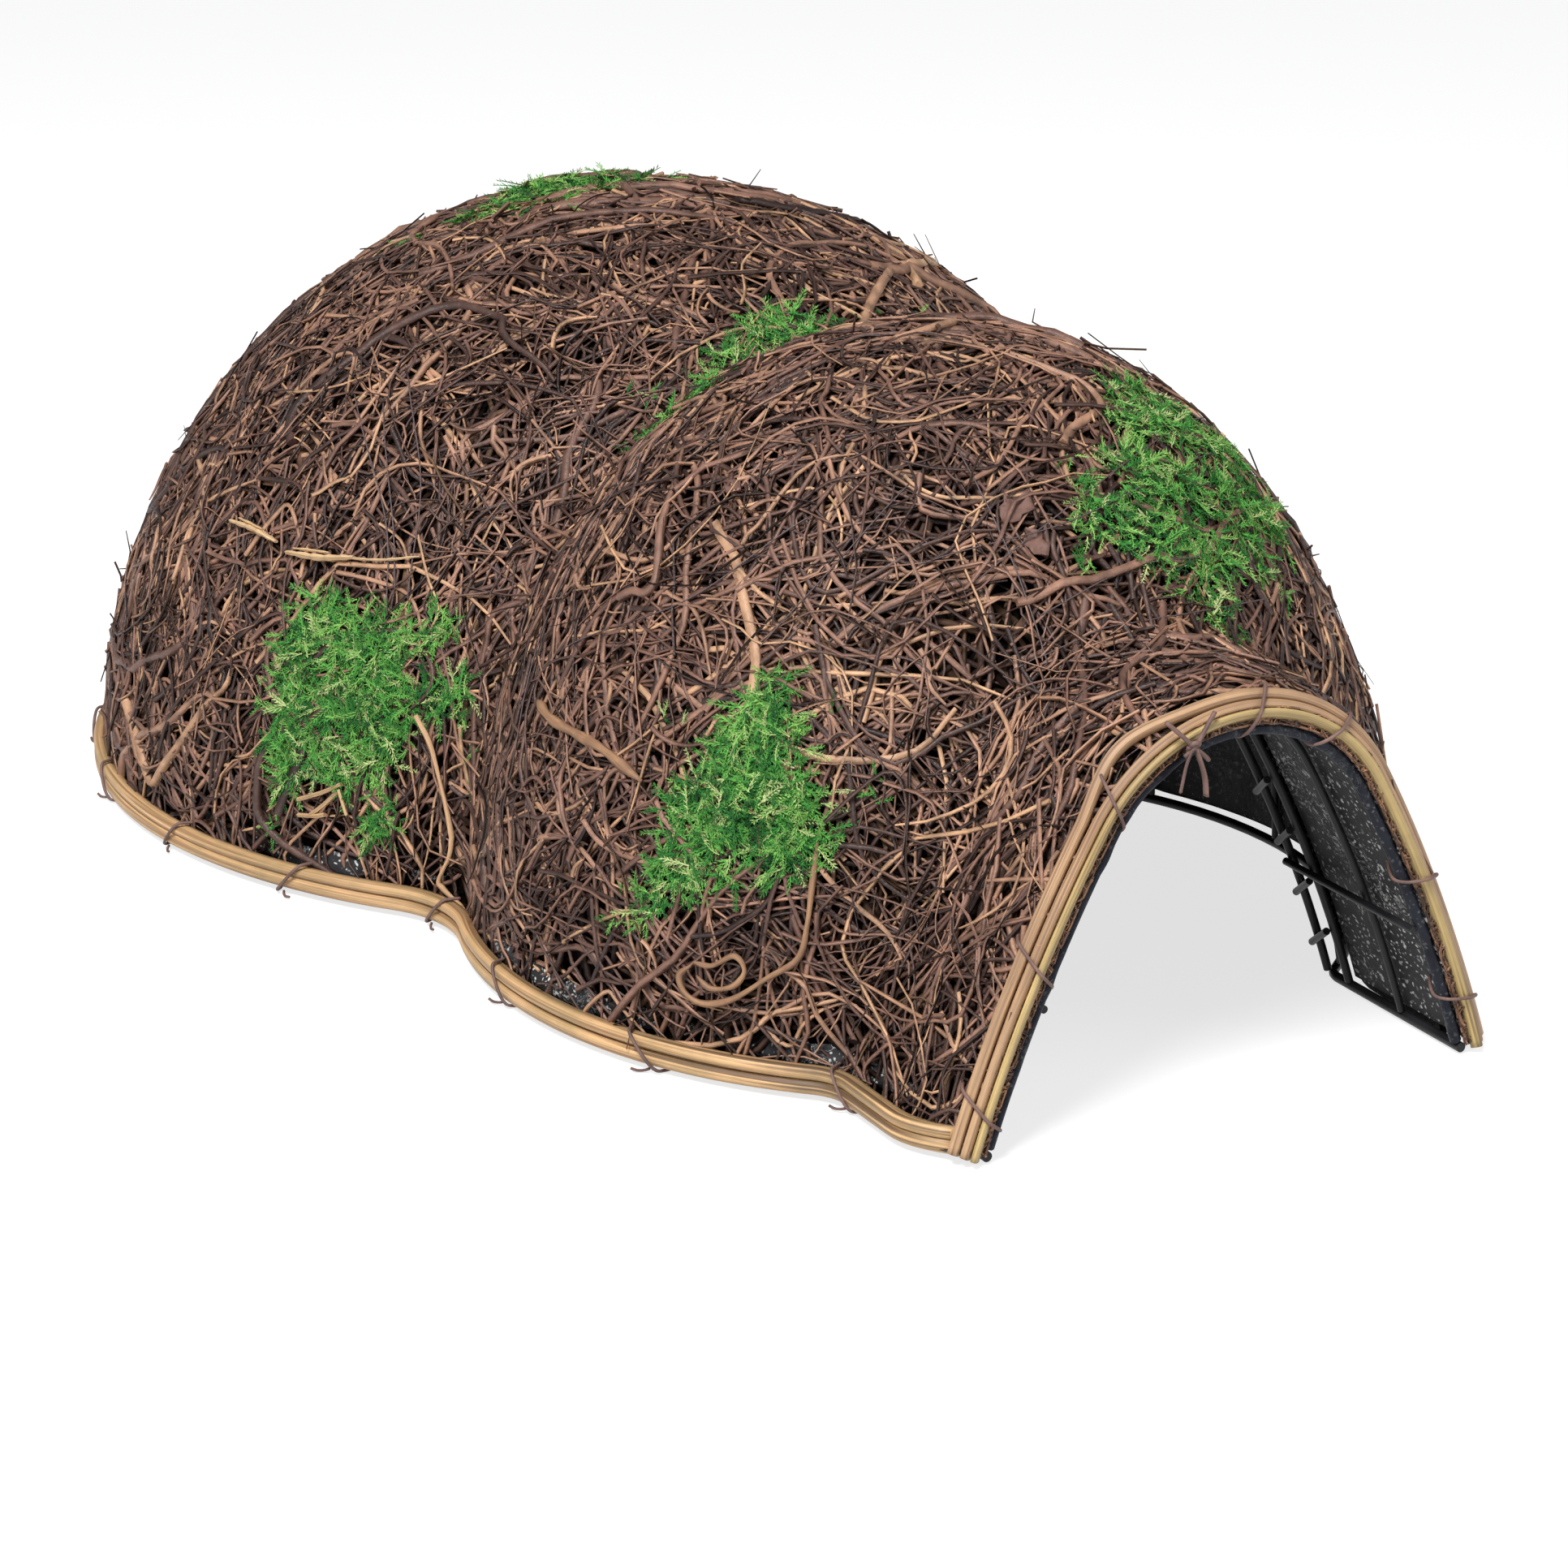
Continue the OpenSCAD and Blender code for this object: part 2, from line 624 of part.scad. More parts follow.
module rim_cane(z, height) {
    out = layer_gap + rim_cane_t / 2;
    translate([0, 0, z + height / 2])
        base_run(chamber_r + out, porch_r + out, hood_foot_x + out, rim_waist_r - out, rim_corner_r - out)
            split_cane(rim_cane_t, height);
}

module rim_cane_lower() {
    color("#c79a62") placed() rim_cane(rim_lift, rim_lower_h);
}

module rim_cane_upper() {
    color("#b98c55") placed() rim_cane(rim_lift + rim_lower_h + cane_gap, rim_upper_h);
}

arch_middle_start = arch_cane_start + arch_inner_w + cane_gap;
arch_outer_start = arch_middle_start + arch_middle_w + cane_gap;
arch_cane_end = arch_outer_start + arch_outer_w;

// A cane on the front edge of the tunnel, rounded to the front
module arch_cane(start, width) {
    placed() translate([0, front_y - layer_gap - arch_cane_d / 2, 0])
        arch_run(entrance, start + width / 2, rim_lift) rotate([0, 0, 90]) split_cane(arch_cane_d, width);
}

module arch_cane_inner() {
    color("#cdb06a") arch_cane(arch_cane_start, arch_inner_w);
}

module arch_cane_middle() {
    color("#c99f68") arch_cane(arch_middle_start, arch_middle_w);
}

module arch_cane_outer() {
    color("#c2935c") arch_cane(arch_outer_start, arch_outer_w);
}

// Open loop of tie wire round a bundle: a width out from the thatch and a height, clear of the canes
module tie_loop(width, height) {
    bevel = tie_d;
    difference() {
        polygon([[0, 0], [width - bevel, 0], [width, bevel], [width, height - bevel],
            [width - bevel, height], [0, height]]);
        translate([-overcut, tie_d]) square([width - tie_d + overcut, height - 2 * tie_d]);
    }
}

module rim_tie(slant) {
    bundle_h = rim_lower_h + cane_gap + rim_upper_h;
    loop_h = (bundle_h + 2 * layer_gap) / cos(slant) + 2 * tie_d;
    width = rim_build + tie_d + layer_gap;
    translate([layer_gap, 0, rim_lift + bundle_h / 2]) rotate([slant, 0, 0])
        translate([0, tie_d / 2, -loop_h / 2]) rotate([90, 0, 0]) linear_extrude(tie_d)
            tie_loop(width, loop_h);
}

module rim_ties() {
    chamber_half = meeting_angle(chamber_r, porch_r) + 14;
    chamber_step = (360 - 2 * chamber_half) / (chamber_tie_count - 1);
    color("#6b4a45") placed() {
        at_chamber() for (i = [0 : chamber_tie_count - 1])
            rotate([0, 0, chamber_half - 90 + i * chamber_step]) translate([chamber_r, 0, 0])
                rim_tie(i % 2 == 0 ? tie_slant : -tie_slant);
        both_sides() for (i = [0 : porch_tie_count - 1])
            rotate([0, 0, -36 + i * 52 / (porch_tie_count - 1)]) translate([porch_r, 0, 0])
                rim_tie(i % 2 == 0 ? tie_slant : -tie_slant);
    }
}

// Ties over the front of the arch canes, at angles round the crown and at heights on the legs
module arch_ties() {
    inner = arch_cane_start - layer_gap - tie_d;
    width = cane_front + tie_d;
    height = arch_cane_end - inner + layer_gap + tie_d;
    crown_turn = tie_d / (entrance_crown_r + arch_cane_end) * 180 / PI;
    leg_turn = tie_d / entrance_leg_r * 180 / PI;
    color("#6b4a45") placed() translate([0, front_y - layer_gap, 0]) rotate([90, 0, 0]) {
        translate([0, arch_crown_z(entrance), 0]) for (angle = [52, 84, 112, 140])
            turn(angle, angle + crown_turn) translate([entrance_crown_r + inner + height, 0])
                rotate([0, 0, 90]) tie_loop(width, height);
        both_sides() translate(leg_centre(entrance)) for (z = [16, 58]) {
            start = leg_angle(entrance, inner, z);
            turn(start, start + leg_turn) translate([entrance_leg_r + inner + height, 0])
                rotate([0, 0, 90]) tie_loop(width, height);
        }
    }
}

// Twisted knot under the crown with two loose ends
module arch_knot() {
    knot_r = 1.5 * tie_d;
    knot_angle = 108;
    reach = entrance_crown_r + arch_cane_start - layer_gap - knot_r;
    place = [0, arch_crown_z(entrance)] + [cos(knot_angle), sin(knot_angle)] * reach;
    color("#6b4a45") placed() translate([place[0], front_y - cane_front / 2, place[1]]) {
        sphere(knot_r);
        for (splay = [-8, 14]) rotate([0, 180 + splay, 0]) cylinder(d = tie_d, h = knot_tail);
    }
}

module moss_chamber_side() {
    placed() at_chamber() side_moss(chamber, -148, 60, 30, 33, 20);
}

module moss_chamber_crown() {
    placed() at_chamber() top_moss(chamber, -12, 24, 36, 22, 75);
}

module moss_chamber_rear() {
    placed() at_chamber() side_moss(chamber, 64, 74, 36, 34, 140);
}

module moss_porch_side() {
    placed() side_moss(porch, -145, 84, 32, 38, 60);
}

module moss_porch_top() {
    placed() side_moss(porch, -64, 156, 38, 34, 105);
}

module moss_porch_far() {
    placed() side_moss(porch, -6, 82, 30, 32, 200);
}

// Crease between the domes at a height, and the azimuth of a crease point on each dome
function crease_at(z) = meeting_point(dome_x(porch, 0, z), dome_x(chamber, 0, z));
crease_peak = crease_top(0)[1];

// Moss pressed along the crease over the passage, thick in the crease and thin on both domes
module moss_valley() {
    steps = 22;
    left_z = valley_left_z;
    right_z = valley_right_z;
    points = [for (i = [0 : steps])
        let (share = 2 * i / steps - 1,
             drop = share < 0 ? crease_peak - left_z : crease_peak - right_z,
             z = crease_peak - moss_gap - drop * share * share,
             at = crease_at(z),
             side = share < 0 ? -1 : 1,
             size = sqrt(1 - 0.94 * share * share) * (1 + 0.15 * sin(900 * share)),
             width = valley_moss_r * size,
             on_porch = atan2(at[1], side * at[0]),
             on_chamber = atan2(at[1] - dome_spacing, side * at[0]))
        each concat(
            [for (w = [1, 0.55, 0.2]) side_point(porch, on_porch, dome_tilt(porch, z), 0, width * w, moss_gap)],
            [for (w = [0.2, 0.55, 1]) at_dome(side_point(chamber, on_chamber, dome_tilt(chamber, z), 0, width * w, moss_gap))],
            [for (w = [1, 0.55]) at_dome(side_point(chamber, on_chamber, dome_tilt(chamber, z), 0, width * w,
                moss_gap + moss_edge + moss_t * size * (1 - w)))],
            [for (w = [0.55, 1]) side_point(porch, on_porch, dome_tilt(porch, z), 0, width * w,
                moss_gap + moss_edge + moss_t * size * (1 - w))])];
    color("#3f7d2c") placed() strip(points, 10);
}

function at_dome(p) = p + [0, dome_spacing, 0];

vine_lift = layer_gap + vine_d / 2;

// Pale vine that runs down the rear dome to the rim
module pale_vine() {
    route = [[-136.6, 52], [-136.2, 46], [-135.8, 38], [-135.5, 30], [-136, 22], [-136.5, 16], [-136, 12.5]];
    color("#b59364") placed() at_chamber()
        vine([for (p = route) on_dome(chamber, p[0], p[1], vine_lift)]);
}

// Vine that drops from the moss on the front dome and curls back on itself
module curled_vine() {
    route = [[-134, 48], [-134.4, 44], [-135.2, 40], [-137, 35], [-140, 30], [-144, 26], [-148, 26],
        [-151, 30], [-150, 35], [-146.5, 36], [-144.5, 33]];
    color("#a9825a") placed()
        vine([for (p = route) on_dome(porch, p[0], p[1], vine_lift)]);
}

module sliver(length, width, turned) {
    translate([layer_gap, 0, 0]) rotate([turned, 0, 0]) translate([0, -length / 2, -width / 2])
        cube([chip_t, length, width]);
}

module wood_chips() {
    color("#cfae80") placed() at_chamber() {
        on_surface(chamber, -167, 107) sliver(18, 4, -28);
        on_surface(chamber, -157, 105) sliver(22, 4.5, -8);
    }
}

module cut_sticks() {
    color("#c79d6c") placed() at_chamber() {
        on_surface(chamber, -151, 16) sliver(15, 2.2, 32);
        on_surface(chamber, -148, 15.5) sliver(13, 2.2, 25);
    }
}

base_wire();
entrance_hoop();
tunnel_mid_rib();
tunnel_rear_hoop();
doorway_hoop();
hoop_struts();
tunnel_stringers();
passage_hoop();
porch_ribs();
porch_rings();
chamber_ribs();
chamber_rings();
tunnel_liner();
porch_liner();
chamber_liner();
tunnel_thatch();
porch_thatch();
chamber_thatch();
rim_cane_lower();
rim_cane_upper();
arch_cane_inner();
arch_cane_middle();
arch_cane_outer();
rim_ties();
arch_ties();
arch_knot();
moss_chamber_side();
moss_chamber_crown();
moss_chamber_rear();
moss_porch_side();
moss_porch_top();
moss_porch_far();
moss_valley();
pale_vine();
curled_vine();
wood_chips();
cut_sticks();
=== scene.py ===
import math

import bmesh
import bpy
import numpy as np
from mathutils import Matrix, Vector, noise as ripple
from mathutils.bvhtree import BVHTree


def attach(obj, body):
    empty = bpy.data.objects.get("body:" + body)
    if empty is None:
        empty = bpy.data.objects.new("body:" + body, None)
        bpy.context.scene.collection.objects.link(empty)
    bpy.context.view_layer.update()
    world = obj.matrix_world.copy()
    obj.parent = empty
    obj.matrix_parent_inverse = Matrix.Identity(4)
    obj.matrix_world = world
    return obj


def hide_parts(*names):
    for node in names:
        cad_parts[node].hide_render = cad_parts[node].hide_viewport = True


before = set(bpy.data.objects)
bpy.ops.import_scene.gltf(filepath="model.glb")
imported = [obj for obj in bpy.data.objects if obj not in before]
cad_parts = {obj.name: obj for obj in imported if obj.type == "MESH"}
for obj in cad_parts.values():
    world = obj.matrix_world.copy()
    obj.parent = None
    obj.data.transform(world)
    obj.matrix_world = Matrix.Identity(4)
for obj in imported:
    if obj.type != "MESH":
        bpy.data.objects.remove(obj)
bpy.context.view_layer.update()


# The stand: a plain pale floor, a white surround and soft studio light from high on the left.
# The camera has the photograph's long lens and looks down past the left side of the entrance.
def put(tree, kind, feeds=None, **options):
    """Adds a node, sets its options and feeds its inputs with values or with other nodes' outputs."""
    made = tree.nodes.new(kind)
    for option, value in options.items():
        setattr(made, option, value)
    for key, value in (feeds or {}).items():
        if isinstance(value, bpy.types.NodeSocket):
            tree.links.new(value, made.inputs[key])
        else:
            made.inputs[key].default_value = value
    return made


def linked(name, data):
    made = bpy.data.objects.new(name, data)
    bpy.context.scene.collection.objects.link(made)
    return made


def mesh_piece(name, points, faces):
    data = bpy.data.meshes.new(name)
    data.from_pydata([tuple(p) for p in points], [], [tuple(f) for f in faces])
    data.update()
    return linked(name, data)


def bare_material(name):
    made = bpy.data.materials.new(name)
    made.use_nodes = True
    made.node_tree.nodes.clear()
    return made, made.node_tree


def maths(tree, operation, *values):
    return put(tree, "ShaderNodeMath", dict(enumerate(values)), operation=operation).outputs[0]


FLOOR_HALF = 9.0
FLOOR_DROP = 0.0004
floor = mesh_piece("floor", [(x * FLOOR_HALF, y * FLOOR_HALF, -FLOOR_DROP)
                             for x, y in ((-1, -1), (1, -1), (1, 1), (-1, 1))], [(0, 1, 2, 3)])
FLOOR_GREY, SEEN_GREY, SEEN_GLOW = 0.66, 0.34, 0.74
floor_paint, tree = bare_material("floor_paint")
path = put(tree, "ShaderNodeLightPath").outputs
seen = maths(tree, "MAXIMUM", path["Is Camera Ray"], path["Is Glossy Ray"])
seen = maths(tree, "MAXIMUM", seen, path["Is Transmission Ray"])
paint = put(tree, "ShaderNodeBsdfDiffuse", {"Color": (FLOOR_GREY, FLOOR_GREY, FLOOR_GREY, 1)})
pale = put(tree, "ShaderNodeBsdfDiffuse", {"Color": (SEEN_GREY, SEEN_GREY, SEEN_GREY, 1)})
glow = put(tree, "ShaderNodeEmission", {"Color": (1, 1, 1, 1), "Strength": SEEN_GLOW})
lit = put(tree, "ShaderNodeAddShader", {0: pale.outputs[0], 1: glow.outputs[0]})
mixed = put(tree, "ShaderNodeMixShader", {0: seen, 1: paint.outputs[0], 2: lit.outputs[0]})
put(tree, "ShaderNodeOutputMaterial", {"Surface": mixed.outputs[0]})
floor.data.materials.append(floor_paint)

AMBIENT = 0.24
world = bpy.data.worlds.new("surround")
world.use_nodes = True
tree = world.node_tree
tree.nodes.clear()
to_camera = put(tree, "ShaderNodeLightPath").outputs["Is Camera Ray"]
ambient = put(tree, "ShaderNodeBackground", {"Color": (0.96, 0.98, 1, 1), "Strength": AMBIENT})
white = put(tree, "ShaderNodeBackground", {"Color": (1, 1, 1, 1), "Strength": 1.0})
mixed = put(tree, "ShaderNodeMixShader", {0: to_camera, 1: ambient.outputs[0], 2: white.outputs[0]})
put(tree, "ShaderNodeOutputWorld", {"Surface": mixed.outputs[0]})
bpy.context.scene.world = world


def softbox(name, place, aim, size, watts):
    lamp = bpy.data.lights.new(name, "AREA")
    lamp.size = size
    lamp.energy = watts
    made = linked(name, lamp)
    made.location = place
    made.rotation_mode = "QUATERNION"
    made.rotation_quaternion = (Vector(aim) - Vector(place)).to_track_quat("-Z", "Y")


softbox("key_light", (-1.1, -0.9, 2.0), (0, 0, 0.08), 0.8, 79)
softbox("fill_light", (1.6, -1.8, 1.2), (0, -0.1, 0.08), 1.4, 23)
softbox("low_light", (-2.2, -1.0, 0.55), (0, 0, 0.05), 1.2, 15)

AZIMUTH, ELEVATION = math.radians(-28.57), math.radians(19.62)
DISTANCE = 1.5713
VIEW_ANGLE = math.radians(20)
aim = Vector((0.0197, 0.02365, 0))
level = math.cos(ELEVATION)
back = Vector((math.sin(AZIMUTH) * level, -math.cos(AZIMUTH) * level, math.sin(ELEVATION)))
camera = linked("camera", bpy.data.cameras.new("camera"))
camera.data.sensor_width = 36
camera.data.lens = camera.data.sensor_width / 2 / math.tan(VIEW_ANGLE / 2)
camera.location = aim + back * DISTANCE
camera.rotation_mode = "QUATERNION"
camera.rotation_quaternion = back.to_track_quat("Z", "Y")
bpy.context.scene.camera = camera
bpy.context.scene.view_settings.view_transform = "Standard"


# The cage: steel wire bent to the plan, hoops over the tunnel and the passage, ribs and rings in both domes.
# It is welded at every crossing and powder-coated satin black.
def ramp(tree, factor, *stops):
    made = put(tree, "ShaderNodeValToRGB", {"Fac": factor})
    band = made.color_ramp
    while len(band.elements) < len(stops):
        band.elements.new(1)
    for element, (position, colour) in zip(band.elements, stops):
        element.position = position
        element.color = (*colour, 1) if len(colour) == 3 else colour
    return made.outputs["Color"]


def shader(tree, bump_height=None, bump_depth=0.0005, bump_strength=0.5, **sockets):
    """A Principled shader with an optional bump, joined to the output."""
    feeds = {key.replace("_", " "): value for key, value in sockets.items()}
    if bump_height is not None:
        bump = {"Height": bump_height, "Distance": bump_depth, "Strength": bump_strength}
        feeds["Normal"] = put(tree, "ShaderNodeBump", bump).outputs[0]
    made = put(tree, "ShaderNodeBsdfPrincipled", feeds)
    put(tree, "ShaderNodeOutputMaterial", {"Surface": made.outputs[0]})


def noise(tree, vector, scale, detail=2.0, roughness=0.5, **feeds):
    given = {"Vector": vector, "Scale": scale, "Detail": detail, "Roughness": roughness, **feeds}
    return put(tree, "ShaderNodeTexNoise", given, noise_dimensions="4D" if "W" in feeds else "3D").outputs


def remap(tree, value, low, high, to_low=0.0, to_high=1.0):
    return put(tree, "ShaderNodeMapRange", {0: value, 1: low, 2: high, 3: to_low, 4: to_high}).outputs[0]


def object_place(tree):
    return put(tree, "ShaderNodeTexCoord").outputs["Object"]


def dress(names, finish):
    """Gives plain nodes their finish."""
    for name in names:
        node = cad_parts[name]
        node.data.materials.clear()
        node.data.materials.append(finish)


coated_wire, tree = bare_material("coated_wire")
here = object_place(tree)
pebble = noise(tree, here, 900)["Fac"]
rubbed = noise(tree, here, 45, 4)["Fac"]
black = ramp(tree, rubbed, (0.3, (0.008, 0.008, 0.009)), (0.75, (0.022, 0.022, 0.024)))
shader(tree, pebble, 0.0002, 0.35, Base_Color=black, Specular_IOR_Level=0.22,
       Roughness=remap(tree, rubbed, 0.3, 0.7, 0.3, 0.5))
dress(("base_wire", "entrance_hoop", "tunnel_mid_rib", "tunnel_rear_hoop", "doorway_hoop", "hoop_struts",
       "tunnel_stringers", "passage_hoop", "porch_ribs", "porch_rings", "chamber_ribs", "chamber_rings"),
      coated_wire)


# The liner: dark film pressed from mixed scrap, full of pale specks, wrapped over the cage under the thatch.
# It shows inside the tunnel and both domes.
def vectors(tree, operation, *values):
    key = {"SCALE": (0, "Scale")}.get(operation, (0, 1))
    return put(tree, "ShaderNodeVectorMath", dict(zip(key, values)), operation=operation).outputs[0]


def blend(tree, share, first, second):
    return put(tree, "ShaderNodeMix", {0: share, 6: first, 7: second}, data_type="RGBA").outputs[2]


def speck_film(name, share, deep=(0.007, 0.007, 0.008), light=(0.032, 0.032, 0.034)):
    """Dark film with pale flecks and streaks; the share says how crowded they are."""
    made, tree = bare_material(name)
    here = object_place(tree)
    crumple = noise(tree, here, 55, 5, 0.6, Distortion=0.8)["Fac"]
    warped = vectors(tree, "ADD", here, vectors(tree, "SCALE", noise(tree, here, 160, 3)["Color"], 0.006))
    crowd = remap(tree, noise(tree, here, 20, 3)["Fac"], 0.36, 0.62, 0.35 * share, share)
    specks = None
    for scale, size in ((210, 0.22), (330, 0.28), (600, 0.36)):
        cells = put(tree, "ShaderNodeTexVoronoi", {"Vector": warped, "Scale": scale}).outputs
        keep = remap(tree, put(tree, "ShaderNodeSeparateColor", {0: cells["Color"]}).outputs[0], 0.42, 0.60)
        dot = maths(tree, "MULTIPLY", remap(tree, cells["Distance"], size, size * 0.45), keep)
        specks = dot if specks is None else maths(tree, "MAXIMUM", specks, dot)
    vein = noise(tree, warped, 150, 3, 0.6, Distortion=1.6)["Fac"]
    vein = remap(tree, maths(tree, "ABSOLUTE", maths(tree, "SUBTRACT", vein, 0.5)), 0.022, 0.0)
    vein = maths(tree, "MULTIPLY", vein, remap(tree, noise(tree, here, 34, 2)["Fac"], 0.48, 0.62))
    specks = maths(tree, "MULTIPLY", maths(tree, "MAXIMUM", specks, vein), crowd)
    dark = ramp(tree, crumple, (0.25, deep), (0.8, light))
    colour = blend(tree, specks, dark, (0.62, 0.62, 0.60, 1))
    shader(tree, crumple, 0.003, 0.6, Base_Color=colour, Roughness=remap(tree, crumple, 0.2, 0.8, 0.35, 0.6),
           Specular_IOR_Level=0.10)
    return made


film = speck_film("film", 1.0)
folded_film = speck_film("folded_film", 0.12, (0.008, 0.009, 0.013), (0.024, 0.026, 0.036))
dress(("tunnel_liner", "porch_liner", "chamber_liner"), film)


# The thatch: brushwood and root strands laid at random over the liner, combed along the valley and the arch.
# A mat standing for packed strands fills the depth, in the strand colour darkened to a tenth as painted
# shade, and layers of single strands lie over it; the two lowest layers are painted darker as shade too.
CHAMBER_Y, PORCH_Y = 0.09515, -0.11285
CHAMBER = (0.193, 0.202, 0.005)
PORCH = (0.150, 0.196, 0.020)
ENTRANCE = (0.082, 0.115, 0.048, 0.470)
FRONT_Y = PORCH_Y - 0.174
HOOD_OUT = 0.0144
HOOD_BEVEL = ((HOOD_OUT, 0.0105), (0.0118, 0.0075), (0.0090, 0.0045), (0.0064, -0.03))


def dome_arcs(dome):
    """Crown radius and centre height, flank radius and centre, and the angle where the two arcs join."""
    foot, height, shoulder = dome
    crown = foot - shoulder
    flank = (foot * foot + height * height - 2 * height * crown) / (2 * shoulder)
    return crown, height - crown, flank, foot - flank, math.atan2(height - crown, flank - foot)


def dome_point(dome, tilt):
    """Radius and height of the dome at a tilt from the ground."""
    crown, crown_z, flank, flank_x, join = dome_arcs(dome)
    if tilt < join:
        return flank_x + flank * math.cos(tilt), flank * math.sin(tilt)
    return crown * math.cos(tilt), crown_z + crown * math.sin(tilt)


def arch_arcs(arch):
    """Crown centre height, leg centre and the angle where crown and leg join."""
    half, height, crown, leg = arch
    crown_z = height - crown
    span = math.hypot(half, crown_z)
    along = ((leg - crown) ** 2 - leg * leg + span * span) / (2 * span)
    side = math.sqrt((leg - crown) ** 2 - along * along)
    centre = (half * along / span - crown_z * side / span,
              crown_z - crown_z * along / span - half * side / span)
    return crown_z, centre, math.atan2(crown_z - centre[1], -centre[0])


def arch_line(arch, offset, foot_z, steps):
    """Points (x, z) and outward directions of the arch at an offset, from the left foot over the crown."""
    crown_z, centre, join = arch_arcs(arch)
    crown, leg = arch[2] + offset, arch[3] + offset
    start = math.asin((foot_z - centre[1]) / leg)
    right = []
    for a in np.linspace(start, join, steps):
        right.append((centre[0] + leg * math.cos(a), centre[1] + leg * math.sin(a), a))
    for a in np.linspace(join, math.pi / 2, steps)[1:]:
        right.append((crown * math.cos(a), crown_z + crown * math.sin(a), a))
    left = [(-x, z, math.pi - a) for x, z, a in right]
    return left[:-1] + right[::-1]


def ring_faces(rings, around, closed=True, first=0):
    faces = []
    for i in range(first, first + (rings - 1) * around, around):
        for k in range(around if closed else around - 1):
            after = (k + 1) % around
            faces.append((i + k, i + after, i + around + after, i + around + k))
    return faces


BELOW, FOOT_Z = 0.03, 0.003
FORM_VOXEL = 0.004
points, faces = [], []
for dome, axis_y in ((CHAMBER, CHAMBER_Y), (PORCH, PORCH_Y)):
    around, first = 120, len(points)
    levels = [(dome[0], -BELOW)] + [dome_point(dome, t) for t in np.linspace(0, math.pi / 2 - 0.02, 50)]
    turns = [2 * math.pi * k / around for k in range(around)]
    points += [(r * math.cos(t), axis_y + r * math.sin(t), z) for r, z in levels for t in turns]
    faces += ring_faces(len(levels), around, first=first)
    faces.append(tuple(first + i for i in reversed(range(around))))
    faces.append(tuple(len(points) - around + i for i in range(around)))
for offset, deep in HOOD_BEVEL:
    outline = [(x, z) for x, z, a in arch_line(ENTRANCE, offset, 0, 30)]
    outline = [(outline[0][0], -BELOW)] + outline + [(outline[-1][0], -BELOW)]
    first, around = len(points), len(outline)
    points += [(x, y, z) for y in (FRONT_Y + deep, PORCH_Y) for x, z in outline]
    faces += ring_faces(2, around, first=first)
    faces.append(tuple(first + i for i in reversed(range(around))))
    faces.append(tuple(first + around + i for i in range(around)))
form = mesh_piece("thatch_form", points, faces)
merged = form.modifiers.new("merge", "REMESH")
merged.mode = "VOXEL"
merged.voxel_size = FORM_VOXEL
eased = form.modifiers.new("ease", "SMOOTH")
eased.factor = 0.5
eased.iterations = 24


def settle(piece):
    """Turns the evaluated object into a plain mesh and removes its modifiers."""
    made = bpy.data.meshes.new_from_object(piece.evaluated_get(bpy.context.evaluated_depsgraph_get()))
    piece.modifiers.clear()
    piece.data = made
    return piece


def cut(work, place, away):
    """Cuts off what lies beyond a plane."""
    everything = work.verts[:] + work.edges[:] + work.faces[:]
    bmesh.ops.bisect_plane(work, geom=everything, plane_co=place, plane_no=away, clear_outer=True)


FRONT_TRIM = 0.001
settle(form)
work = bmesh.new()
work.from_mesh(form.data)
cut(work, (0, 0, FOOT_Z), (0, 0, -1))
cut(work, (0, FRONT_Y + FRONT_TRIM, 0), (0, -1, 0))
bmesh.ops.recalc_face_normals(work, faces=work.faces)
work.to_mesh(form.data)
work.free()
for polygon in form.data.polygons:
    polygon.use_smooth = True

count = len(form.data.vertices)
spots = np.empty(count * 3)
form.data.vertices.foreach_get("co", spots)
spots = spots.reshape(-1, 3)
facing = np.empty(count * 3)
form.data.vertex_normals.foreach_get("vector", facing)
facing = facing.reshape(-1, 3)
if (facing[:, 2] * spots[:, 2]).sum() < 0:
    form.data.flip_normals()
    facing = -facing
VALLEY_Y = -0.036
near_valley = np.exp(-((spots[:, 1] - VALLEY_Y - 0.13 * spots[:, 2]) / 0.026) ** 2)
near_arch = np.clip((PORCH_Y - 0.085 - spots[:, 1]) / 0.04, 0, 1)
axis_y = np.where(spots[:, 1] > VALLEY_Y, CHAMBER_Y, PORCH_Y)
around = np.stack([-(spots[:, 1] - axis_y), spots[:, 0], np.zeros(count)], 1)
girth = np.cross(facing, np.array([0, 1, 0]))
tied = np.clip(near_valley + near_arch, 0, 1)[:, None]
comb = around / (np.linalg.norm(around, axis=1)[:, None] + 1e-6) * (1 - tied) + girth * tied
stray = 1 - 0.72 * np.clip(near_valley * 1.2 + near_arch * 0.7, 0, 1)
cover = np.clip((spots[:, 2] - 0.004) / 0.02, 0.3, 1)
depth = np.clip((spots[:, 1] - FRONT_Y) / 0.014, 0.12, 1)


def hold(piece, **values):
    """Stores numbers or directions, one a point, under their names."""
    for name, value in values.items():
        value = np.asarray(value, dtype=float)
        kind, slot = ("FLOAT_VECTOR", "vector") if value.ndim == 2 else ("FLOAT", "value")
        piece.data.attributes.new(name, kind, "POINT").data.foreach_set(slot, value.ravel())


hold(form, comb=comb, stray=stray, cover=cover, depth=depth)


def random_value(tree, low, high, seed, offset):
    seeded = put(tree, "ShaderNodeMath", {0: seed, 1: float(offset)}, operation="ADD").outputs[0]
    return put(tree, "FunctionNodeRandomValue", {2: low, 3: high, "Seed": seeded}).outputs[1]


def named(tree, name, kind="FLOAT"):
    return put(tree, "GeometryNodeInputNamedAttribute", {"Name": name}, data_type=kind).outputs["Attribute"]


def stored(tree, geometry, name, value, kind="FLOAT"):
    return put(tree, "GeometryNodeStoreNamedAttribute", {"Geometry": geometry, "Name": name, "Value": value},
               data_type=kind, domain="POINT").outputs[0]


